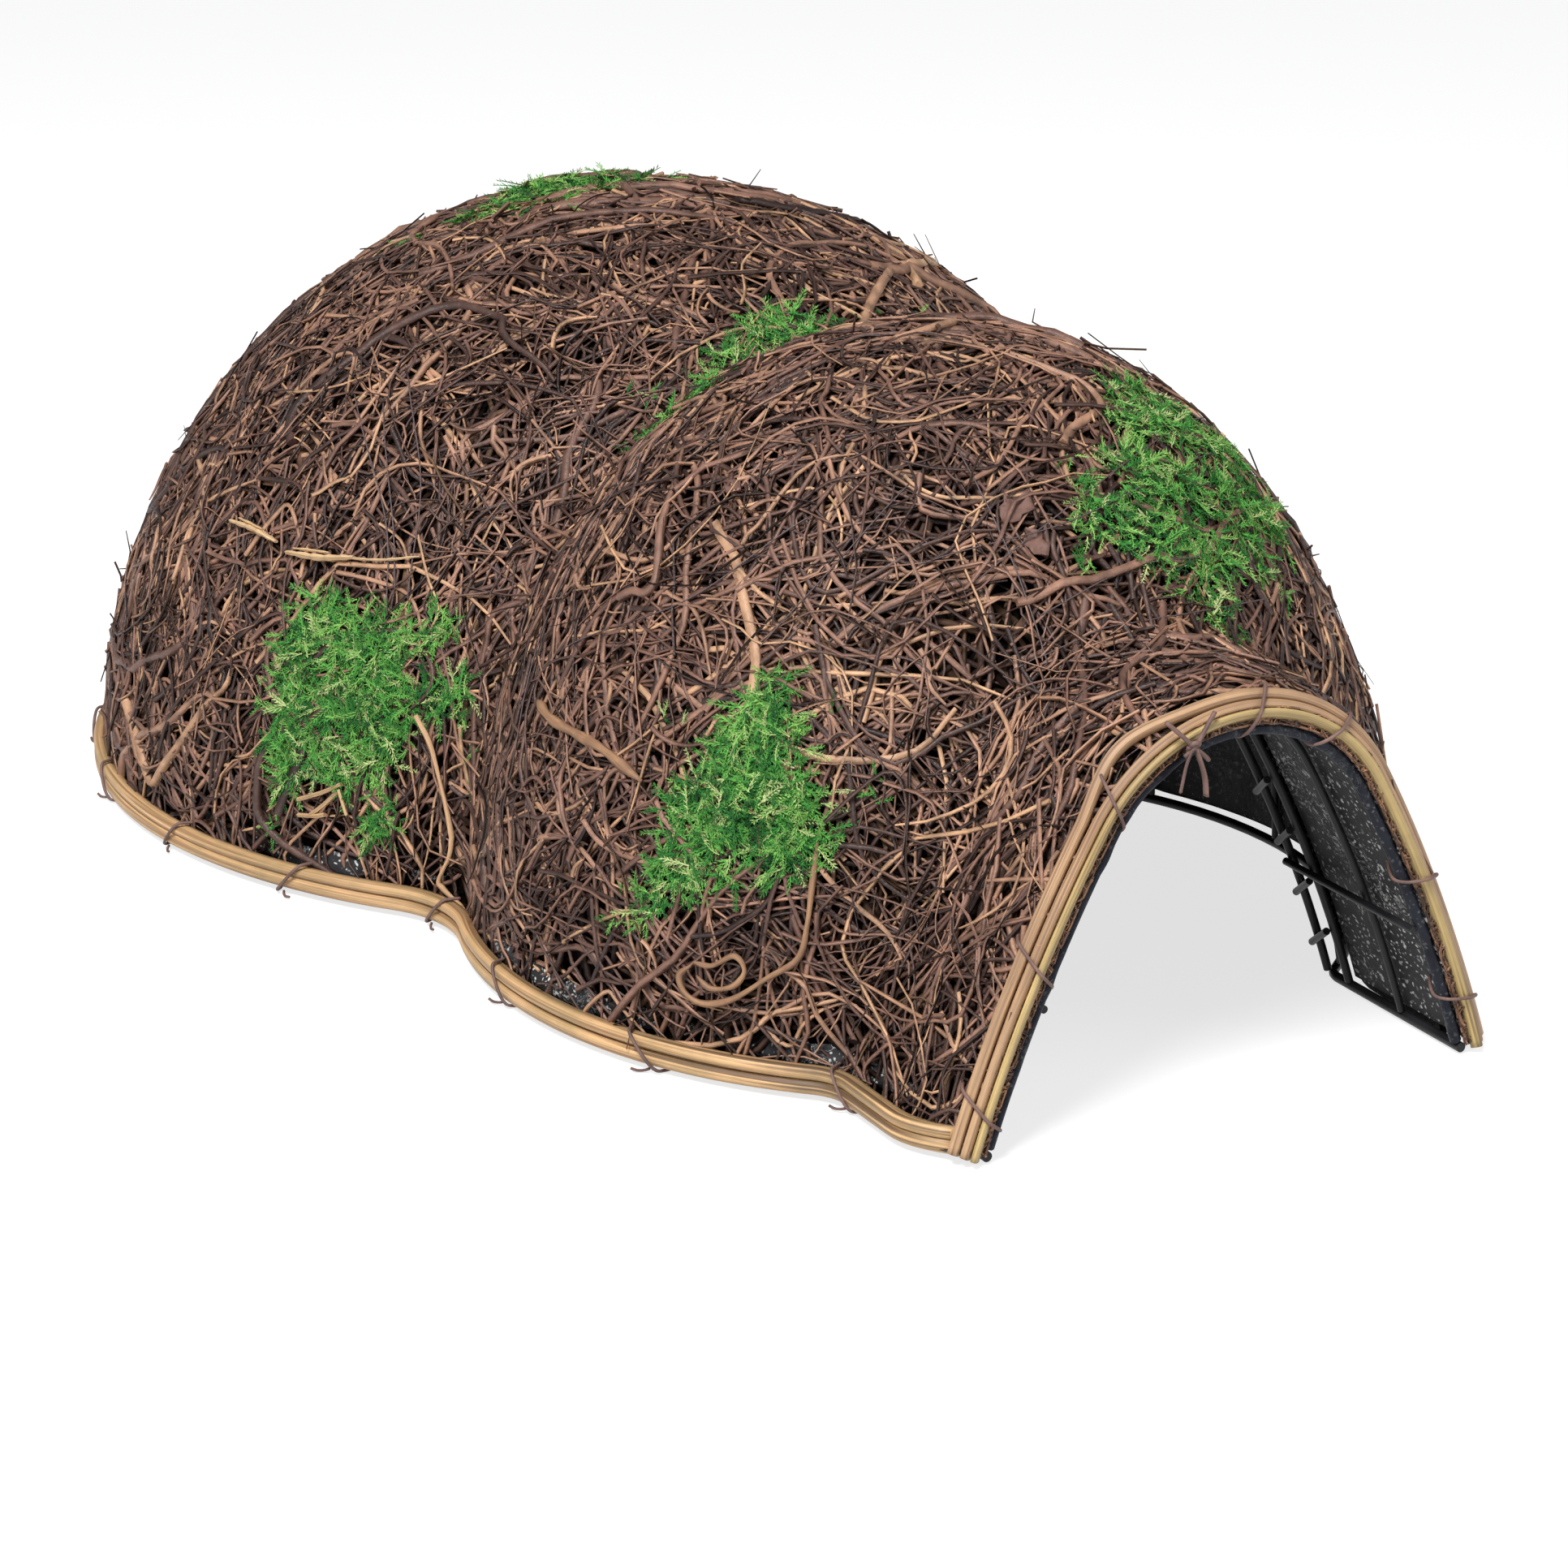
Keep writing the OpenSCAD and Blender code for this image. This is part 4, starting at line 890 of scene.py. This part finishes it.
TIE_PLACES = (
    0.035, 0.085, 0.130, 0.185, 0.232, 0.275, 0.318, 0.356, 0.400, 0.442, 0.488, 0.531, 0.570, 0.612, 0.652,
    0.694, 0.738, 0.779, 0.822, 0.870, 0.918, 0.966,
)
places = []
for lean in (1, -1):
    loop, tail = (mm((lean * x, y, z) for x, y, z in line) for line in (RIM_LOOP, RIM_TAIL))
    shape = rods("tie_shape", paper_tie, (smooth_line(loop, 4), TIE_R, 6),
                 (smooth_line(tail, 3), TIE_R * 0.85, 5))
    places.append((shape, []))
foot_line = plan_line(0.0)
length = sum((b[0] - a[0]).length for a, b in zip(foot_line, foot_line[1:]))
walked, k = 0.0, 0
for (a, out), after in zip(foot_line, foot_line[1:]):
    step = (after[0] - a).length
    while k < len(TIE_PLACES) and walked + step >= TIE_PLACES[k] * length:
        spot = a + Vector((0, 0, RIM_MID))
        heading = out.cross(Vector((0, 0, 1))) * -1
        places[(k * 5 // 3) % 2][1].append((spot, out, heading, 1.0 + 0.03 * math.sin(k * 2.3), 0.5))
        k += 1
    walked += step
for number, (shape, spots_here) in enumerate(places):
    ties = set_on(f"rim_ties_{number + 1}", spots_here, shape, paper_tie)
    seat(ties, "paper_tie", *(["rim_ties"] if number == 0 else []))
    bpy.data.objects.remove(shape)

ARCH_LOOP = (
    (-4.4, -7.4, -3.4), (-3.8, -6.4, -0.4), (-2.8, -4.8, 2.0), (0, 0, 2.5), (2.6, 4.4, 2.1),
    (3.4, 5.7, 0.6), (4.4, 6.8, -2.2), (5.2, 7.0, -5.0), (6.2, 5.8, -8.0), (7.4, 1.8, -9.3),
    (8.6, -1.6, -9.4),
)
shape = rods("arch_tie_shape", paper_tie, (smooth_line(mm(ARCH_LOOP), 4), TIE_R, 6))
seat_line = arch_line(ENTRANCE, STACK_IN, RIM_LIFT, 60)
spots_here = []
LEG_TIES, CROWN_TIES = (0.016, 0.058), (52, 84, 140)
rows = [min(seat_line, key=lambda row: abs(math.degrees(row[2]) - angle)) for angle in CROWN_TIES]
for side in (seat_line[:60], seat_line[-60:]):
    rows += [min(side, key=lambda row: abs(row[1] - height)) for height in LEG_TIES]
for x, z, a in rows:
    middle, slope, skin = stack_place(x, z, a, STACK_W / 2)
    spots_here.append((middle, skin, (-math.sin(a), 0, math.cos(a)), 1.0, 0.5))
seat(set_on("arch_ties_wound", spots_here, shape, paper_tie), "paper_tie", "arch_ties")
bpy.data.objects.remove(shape)

KNOT_ANGLE = math.radians(112)
crown_z = arch_arcs(ENTRANCE)[0]
KNOT_OUT, KNOT_FRONT = 0.0052, 0.0036
knot_at = Vector((math.cos(KNOT_ANGLE), 0, math.sin(KNOT_ANGLE))) * (ENTRANCE[2] + KNOT_OUT)
knot_at += Vector((0, FRONT_Y - KNOT_FRONT, crown_z))
KNOT_LINES = (
    (0.0007, 1.0, ((-9, 0.4, 8.5), (-4.5, -0.6, 4.2), (0, -0.9, 0), (3.5, -0.4, -3.0), (6.5, 1.5, -5.5))),
    (0.0007, 1.0, ((7.5, 0.6, 9.0), (3.4, -0.6, 4.4), (0.3, -1.0, 0.4), (-3.0, -0.4, -2.6))),
    (0.0008, 1.0, ((-1.7, -0.5, 0.8), (0, -1.5, 1.5), (1.7, -0.5, 0.6), (0.8, 0.6, -1.2), (-1.2, 0.4, -1.3),
                   (-1.8, -0.8, 0.5))),
    (0.0012, 0.4, ((-0.6, -0.6, -0.6), (-2.6, -0.9, -5.0), (-3.4, -0.6, -9.5), (-4.0, -0.4, -13.0))),
    (0.0012, 0.4, ((0.6, -0.6, -0.6), (2.2, -1.0, -5.0), (3.9, -0.8, -10.0), (4.6, -0.6, -15.5))),
)
knot = [(smooth_line(mm(line, knot_at), 5), radius, 6, flat) for radius, flat, line in KNOT_LINES]
seat(rods("arch_knot_twist", paper_tie, *knot), "paper_tie", "arch_knot")


# The hem: the liner film comes out under the thatch just above the canes, crumpled and shiny.
# The strands cover most of it.
HEM_T = 0.0004
HEM_ROWS = (0.0090, 0.0104, 0.0118, 0.0132, 0.0146, 0.0160)
rings = []
for spot, out in plan_line(0.0005):
    ring = []
    for k, z in enumerate(HEM_ROWS):
        place, normal = on_thatch(spot + Vector((0, 0, z)))
        crumple = ripple.noise(place * 95 + Vector((0, 0, k * 0.2))) + 0.5 * ripple.noise(place * 240)
        tucked = 0.0045 * min(max(0.25 - 1.6 * ripple.noise(spot * 21 + Vector((0, 0, z * 40))), 0), 1)
        waved = Vector((0, 0, 0.0014 * ripple.noise(place * 130 + Vector((9, 0, 0)))))
        ring.append(place + normal * (-0.0010 + 0.0020 * crumple - tucked) + waved)
    rings.append(ring + [p - out * HEM_T for p in reversed(ring)])
seat(skinned("film_hem", rings, film), "film")


# The moss: tufts of dried, dyed sheet moss glued to the thatch, with arms and tails of single fronds.
# The places in millimetres are the middles and radii of the tufts.
def frond_shape(name, seed, length, pairs):
    """One feathery frond: a thin bent stem with narrow leaves on both sides."""
    draw = np.random.default_rng(seed)
    bend, curl = draw.uniform(-0.5, 0.5), draw.uniform(0.05, 0.28)
    stem = [Vector((length * t, length * bend * t * t, length * curl * t * t * (1.2 - t)))
            for t in np.linspace(0, 1, 5)]
    frond = ([], [], [])
    add_tube(frond, stem, STEM_R, 3, taper=lambda t: 1 - 0.6 * t)
    points, faces, maps = frond
    for k in range(pairs * 2):
        t = 0.12 + 0.85 * k / (pairs * 2)
        root = stem[0].lerp(stem[-1], t) + Vector((0, 0, length * curl * (t * t * (1.2 - t) - 0.2 * t)))
        reach = length * draw.uniform(0.16, 0.34) * (1.1 - 0.6 * t)
        lean = math.radians(draw.uniform(18, 58)) * (1 if k % 2 else -1)
        way = Vector((math.cos(lean), math.sin(lean), draw.uniform(-0.1, 0.5))).normalized()
        wide = way.cross(Vector((0, 0, 1))).normalized() * reach * 0.13
        first = len(points)
        middle, tip = root + way * reach * 0.5, root + way * reach + Vector((0, 0, reach * 0.15))
        points.extend([root, middle + wide, tip, middle - wide])
        faces.append((first, first + 1, first + 2, first + 3))
        maps.append(((t, 0.0), (t, 0.5), (t, 1.0), (t, 0.5)))
    return bundled(name, frond, sheet_moss, False)


sheet_moss, tree = bare_material("sheet_moss")
here = object_place(tree)
# The tone carries painted shade: fronds lying low in a tuft have lower tones and come out a darker green.
tone = put(tree, "ShaderNodeAttribute", attribute_name="tone").outputs["Fac"]
dye = noise(tree, here, 38, 3, 0.6)["Fac"]
mixed = maths(tree, "MULTIPLY_ADD", tone, 0.85, maths(tree, "MULTIPLY", dye, 0.42))
green = ramp(tree, mixed, (0.18, (0.008, 0.055, 0.014)), (0.38, (0.030, 0.172, 0.027)),
             (0.55, (0.088, 0.285, 0.050)), (0.72, (0.180, 0.350, 0.080)), (0.92, (0.36, 0.42, 0.18)))
fleck = noise(tree, here, 700, 3, 0.7)["Fac"]
green = vectors(tree, "SCALE", green, remap(tree, fleck, 0.3, 0.7, 0.6, 1.4))
shader(tree, fleck, 0.0004, 0.4, Base_Color=green, Specular_IOR_Level=0.2,
       Roughness=remap(tree, fleck, 0.3, 0.7, 0.6, 0.85))

MOSS = {
    "moss_chamber_side": (
        (-161, 21, 79, 10.1), (-152, 10, 86, 11.9), (-146, -3, 83, 10.6), (-165, 16, 64, 11.2),
        (-154, 0, 70, 14.6), (-146, -13, 69, 11.9), (-168, 13, 48, 10.7), (-159, -2, 51, 12.7),
        (-150, -14, 55, 10.0), (-172, 16, 40, 6.7), (-154, 20, 93, 5.3), (-160, 32, 91, 3.7),
        (-137, -13, 87, 4.7), (-130, -17, 92, 5.3), (-126, -21, 93, 3.7), (-135, -25, 70, 6.3),
        (-130, -29, 74, 5.2), (-129, -35, 65, 2.6), (-128, -39, 55, 1.8), (-128, -42, 47, 1.3),
        (-171, 32, 66, 2.1), (-174, 32, 58, 1.6), (-174, 16, 29, 2.4), (-175, 17, 20, 3.2),
        (-153, -16, 41, 3.7), (-150, -21, 36, 2.4), (-153, -19, 28, 5.3), (-156, -16, 24, 2.6),
        (-149, -24, 31, 2.4)),
    "moss_porch_side": (
        (-96, -184, 118, 3.3), (-99, -186, 113, 5.2), (-104, -185, 106, 7.6), (-99, -192, 104, 6.7),
        (-108, -186, 96, 10.0), (-101, -197, 94, 9.0), (-114, -184, 86, 11.5), (-107, -196, 84, 11.9),
        (-101, -205, 81, 9.5), (-122, -178, 76, 9.1), (-115, -191, 72, 10.7), (-106, -204, 71, 7.6),
        (-125, -179, 64, 7.7), (-97, -212, 75, 5.2), (-129, -176, 57, 6.3), (-132, -172, 49, 4.3),
        (-134, -171, 42, 2.4), (-121, -187, 61, 5.3), (-91, -197, 110, 1.9), (-86, -202, 111, 1.2),
        (-91, -212, 84, 2.1), (-86, -215, 89, 1.9), (-81, -216, 94, 1.7), (-82, -219, 88, 1.2),
        (-117, -165, 102, 1.4), (-120, -159, 102, 1.0), (-91, -216, 78, 1.4), (-138, -162, 41, 1.7),
        (-140, -155, 41, 1.2), (-136, -162, 53, 1.7)),
    "moss_valley": (
        (-59, -24, 146, 3.2), (-64, -25, 143, 1.8), (-69, -62, 163, 4.6), (-61, -63, 169, 5.1),
        (-52, -42, 160, 5.0), (-30, -17, 162, 5.3), (-38, -30, 164, 5.0), (-18, -12, 167, 7.0),
        (-4, -6, 172, 8.1), (6, -4, 174, 7.6), (12, -9, 170, 5.4), (-20, -40, 172, 6.5), (24, -4, 172, 3.5),
        (35, -2, 171, 2.2), (46, 1, 170, 1.7), (63, 8, 168, 1.4), (-56, -66, 172, 3.3),
        (-72, -56, 160, 2.6), (-51, -14, 158, 2.7), (-58, -11, 158, 1.6), (-5, -24, 172, 6.0)),
    "moss_porch_top": (
        (48, -153, 180, 5.5), (38, -160, 181, 6.0), (56, -158, 175, 6.0), (30, -174, 177, 6.4),
        (44, -173, 172, 8.9), (61, -170, 166, 8.5), (73, -167, 159, 6.6), (23, -191, 167, 9.3),
        (36, -194, 161, 11.3), (56, -192, 152, 10.9), (73, -185, 146, 9.0), (76, -189, 138, 5.5),
        (15, -187, 172, 3.4), (2, -198, 164, 4.4), (6, -205, 157, 8.2), (21, -209, 151, 10.7),
        (39, -210, 144, 9.8), (58, -203, 140, 7.4), (-6, -207, 156, 3.8), (-8, -203, 159, 1.7),
        (30, -219, 135, 5.3), (33, -222, 128, 4.9), (34, -226, 122, 3.4), (37, -227, 118, 1.7),
        (59, -208, 132, 3.9), (67, -208, 125, 3.5), (-10, -214, 147, 1.4), (3, -186, 173, 1.5),
        (-7, -213, 149, 2.2)),
    "moss_chamber_crown": (
        (-76, 137, 181, 2.8), (-72, 126, 185, 3.4), (-54, 117, 193, 5.0), (-43, 113, 196, 6.5),
        (-33, 109, 199, 7.1), (-22, 105, 200, 7.1), (-10, 104, 202, 6.5), (4, 105, 202, 4.4),
        (19, 109, 201, 2.3), (-44, 98, 197, 2.8), (-31, 92, 199, 2.5), (-30, 120, 199, 8),
        (-14, 124, 200, 8), (-24, 138, 196, 7), (2, 120, 201, 6), (-6, 140, 196, 5)),
    "moss_chamber_rear": (
        (84, 255, 74, 11), (72, 258, 86, 10), (96, 248, 66, 9), (82, 254, 56, 11), (66, 262, 66, 11),
        (100, 240, 84, 8), (88, 246, 94, 8), (60, 266, 50, 6), (104, 244, 50, 5), (78, 260, 38, 3.4),
        (80, 260, 30, 2.4), (110, 232, 98, 2.6), (54, 262, 92, 3.0)),
    "moss_porch_far": (
        (142, -130, 84, 10), (144, -116, 78, 10), (138, -142, 74, 9), (140, -126, 66, 11),
        (144, -110, 92, 8), (134, -142, 92, 8), (146, -128, 54, 7), (142, -142, 56, 5), (148, -116, 44, 3),
        (148, -114, 36, 2.2), (126, -156, 100, 2.4), (140, -104, 104, 3)),
}
FROND_AREA, FROND_LIFT, TUFT_HEIGHT, STEM_R = 2.9e-6, 0.0008, 0.0034, 0.0003
draw = np.random.default_rng(404)
fronds = [frond_shape("frond_a", 1, 0.0088, 6), frond_shape("frond_b", 2, 0.0110, 7),
          frond_shape("frond_c", 3, 0.0066, 5)]
for node, tufts in MOSS.items():
    places = [[], [], []]
    for x, y, z, r in tufts:
        middle, out = on_thatch(Vector((x, y, z)) / 1000)
        reach = r / 1000
        for k in range(max(3, int(math.pi * reach * reach / FROND_AREA))):
            away = reach * math.sqrt(draw.uniform(0, 1.15))
            angle = draw.uniform(0, 2 * math.pi)
            side = out.cross(Vector((0.2, 0.9, 0.38))).normalized()
            guess = middle + (side * math.cos(angle) + out.cross(side) * math.sin(angle)) * away
            mound = max(0.0, 1 - (away / reach) ** 2) * min(TUFT_HEIGHT, 0.3 * reach)
            height = draw.uniform(0.2, 1.0)
            spot, normal = on_thatch(guess, FROND_LIFT + mound * height)
            stray = Vector(draw.normal(0, 1, 3))
            heading = (stray - normal * stray.dot(normal)).normalized()
            up = (normal + Vector(draw.normal(0, 0.22, 3))).normalized()
            size = draw.uniform(0.6, 1.1) * (0.62 if r < 4 else 0.9)
            chosen = places[int(draw.integers(0, 3))]
            # The tone is drawn at random and scaled down for fronds lying low in the tuft, as painted shade.
            chosen.append((spot, up, heading, size, draw.uniform(0, 1) * (0.25 + 0.75 * height)))
    for letter, spots_here, shape in zip("abc", places, fronds):
        tuft = set_on(f"{node}_{letter}", spots_here, shape, sheet_moss)
        seat(tuft, "moss", *([node] if letter == "a" else []))
for shape in fronds:
    bpy.data.objects.remove(shape)


# Loose trim: dry vines, torn wood, cut sticks and leaf scraps caught in the thatch.
# Fine dark thread wound over the whole holds the strands down.
def bark(name, pale, deep):
    made, tree = bare_material(name)
    grain = streaks(tree, (60, 1600, 1), 4, 0.65)
    knots = noise(tree, object_place(tree), 160, 3)["Fac"]
    colour = ramp(tree, grain, (0.3, deep), (0.7, pale))
    colour = blend(tree, remap(tree, knots, 0.45, 0.7, 0.0, 0.7), colour, (*deep, 1))
    shader(tree, grain, 0.0006, 0.6, Base_Color=colour, Roughness=remap(tree, grain, 0.3, 0.7, 0.5, 0.8))
    return made


def laid_line(points, lift, steps=6):
    """A smooth line pressed to the thatch at a height."""
    return [on_thatch(p, lift)[0] for p in smooth_line(mm(points), steps)]


pale_bark = bark("pale_vine_bark", (0.56, 0.36, 0.20), (0.36, 0.20, 0.10))
VINE_LIFT, VINE_TOP = 0.0020, 0.0028
PALE_VINE = (
    (-140, -22, 65), (-138, -28, 57), (-137, -33, 46), (-136, -38, 33), (-136, -40, 24), (-140, -37, 14),
    (-140, -39, 11), (-139, -44, 8), (-140, -52, 7),
)
PALE_R, PALE_SWELL = 0.00085, 0.00015
stem = rods("pale_vine_stem", pale_bark, (laid_line(PALE_VINE, VINE_LIFT), PALE_R, 6),
            taper=lambda t: 1 + PALE_SWELL / PALE_R * math.sin(19 * t))
seat(stem, "vine", "pale_vine")
brown_bark = bark("curled_vine_bark", (0.34, 0.19, 0.095), (0.15, 0.075, 0.040))
CURLED_VINES = (
    (0.001, ((-97, -212, 78), (-100, -214, 63), (-102, -215, 52), (-105, -215, 42), (-112, -209, 35),
             (-119, -201, 27), (-125, -194, 24), (-128, -188, 26), (-129, -186, 31), (-126, -189, 35))),
    (0.0009, ((-127, -190, 36), (-123, -195, 36), (-118, -200, 40), (-116, -203, 36), (-119, -201, 31),
              (-123, -195, 29), (-126, -191, 32))),
    (0.0016, ((-132, -98, 91), (-133, -109, 89), (-133, -125, 89), (-131, -141, 88), (-127, -159, 83))),
)
stems = [(laid_line(points, VINE_TOP - radius), radius, 6) for radius, points in CURLED_VINES]
curled = rods("curled_vine_stem", brown_bark, *stems,
              taper=lambda t: (1 + 0.18 * math.sin(23 * t)) * min(1, 0.4 + 6 * t, 6.4 - 6 * t))
seat(curled, "vine", "curled_vine")

torn = bark("torn_wood", (0.66, 0.47, 0.27), (0.42, 0.26, 0.13))
CHIPS = (
    (0.0019, ((-162, 76, 108), (-159, 62, 108), (-157, 49, 107))),
    (0.001, ((-161, 72, 110), (-158, 58, 109))),
    (0.0024, ((-156, 42, 105), (-150, 28, 106), (-143, 17, 108))),
    (0.0011, ((-155, 40, 107), (-148, 26, 108))),
    (0.001, ((-146, 22, 107), (-138, 8, 109), (-128, -2, 111))),
)
CHIP_LIFT, STICK_R = 0.0022, 0.0012


def chip_taper(t):
    return (0.35 + 0.65 * math.sin(math.pi * min(max(t, 0.04), 0.96)) ** 0.5) * (1 + 0.2 * math.sin(31 * t))


chips = [(laid_line(points, CHIP_LIFT, 7), radius, 6, 0.5) for radius, points in CHIPS]
seat(rods("wood_chips_torn", torn, *chips, taper=chip_taper, smooth=False), "chip", "wood_chips")
STICKS = (
    ((-169, 8, 32), (-164, 0, 36), (-160, -6, 40)), ((-167, 3, 28), (-164, -1, 32), (-161, -5, 37)),
    ((-170, 7, 27), (-166, 1, 28), (-164, -2, 29)), ((-158, -8, 30), (-160, -5, 38)),
)
cut_wood = bark("cut_stick_wood", (0.56, 0.38, 0.20), (0.34, 0.20, 0.10))
sticks = [(laid_line(points, CHIP_LIFT, 4), STICK_R, 5, 0.6) for points in STICKS]
seat(rods("cut_sticks_laid", cut_wood, *sticks, smooth=False), "chip", "cut_sticks")

dry_leaf = worn_finish("dry_leaf", (420, 4, 0.7), (60, 3), (0.35, (0.070, 0.032, 0.025)),
                       (0.65, (0.150, 0.075, 0.055)), (0.0006, 0.6), (0.55, 0.8))
LEAVES = (
    (-22, -196, 163, 7.5, 0.4), (-2, -225, 131, 4.0, 1.2), (-84, -136, 162, 4.0, 2.2),
    (-21, -206, 154, 5.5, 1.9), (-149, -116, 18, 3.4, 0.9), (118, 20, 140, 6, 0.3), (60, 250, 120, 5, 2.6),
)
LEAF_T, LEAF_LIFT = 0.0002, 0.0004
leaves = ([], [], [])
for x, y, z, r, turn in LEAVES:
    middle, out = on_thatch(Vector((x, y, z)) / 1000, CHIP_LIFT)
    side = out.cross(Vector((math.cos(turn), math.sin(turn), 0.6))).normalized()
    ahead = out.cross(side)
    rings = []
    for t in np.linspace(-1, 1, 9):
        half = r / 1000 * 0.62 * max(0.06, 1 - t * t) * (1 + 0.25 * math.sin(7 * t + x))
        ring = []
        for w in np.linspace(-1, 1, 5):
            spot = middle + ahead * (t * r / 1000) + side * (w * half)
            curl = 0.0011 * w * w + 0.0008 * math.sin(4 * t + 3 * w + y)
            ring.append(on_thatch(spot, LEAF_LIFT + curl)[0])
        rings.append(ring + [p - out * LEAF_T for p in reversed(ring)])
    add_rings(leaves, rings)
seat(bundled("leaf_scraps", leaves, dry_leaf), "thatch")

thread = worn_finish("binding_thread", (2000, 2), (2000, 2), (0.3, (0.050, 0.034, 0.036)),
                     (0.7, (0.120, 0.082, 0.082)), (0.0002, 0.3), (0.45, 0.65))
THREADS = (
    ((-124, 58, 151), (-133, 15, 121), (-140, -2, 93)), ((-119, 45, 150), (-131, 13, 121), (-137, -1, 101)),
    ((-110, 45, 158), (-121, 12, 131), (-135, -6, 99)),
    ((-55, -196, 149), (-4, -204, 159), (66, -171, 161)),
    ((-27, -219, 136), (6, -216, 145), (34, -212, 143)),
    ((-39, -224, 122), (11, -226, 130), (58, -213, 127)),
    ((-138, -94, 73), (-119, -81, 112), (-85, -80, 159)),
    ((-30, -176, 175), (-30, -209, 148), (-29, -228, 121)),
    ((-97, -177, 125), (-74, -181, 148), (-48, -178, 168)),
    ((-125, -103, 108), (-106, -148, 133), (-74, -166, 159)),
    ((-42, -207, 145), (6, -196, 165), (73, -151, 166)), ((150, 60, 120), (120, 120, 160), (60, 210, 150)),
    ((40, 260, 110), (-20, 240, 150), (-90, 190, 150)), ((150, -60, 40), (140, -120, 90), (90, -180, 120)),
    ((-180, 130, 60), (-150, 200, 80), (-80, 250, 100)),
)
THREAD_R, THREAD_LIFT = 0.00028, 0.0019
threads = [(laid_line(points, THREAD_LIFT, 14), THREAD_R, 3) for points in THREADS]
seat(rods("binding_threads", thread, *threads), "thatch")
bpy.data.objects.remove(form)
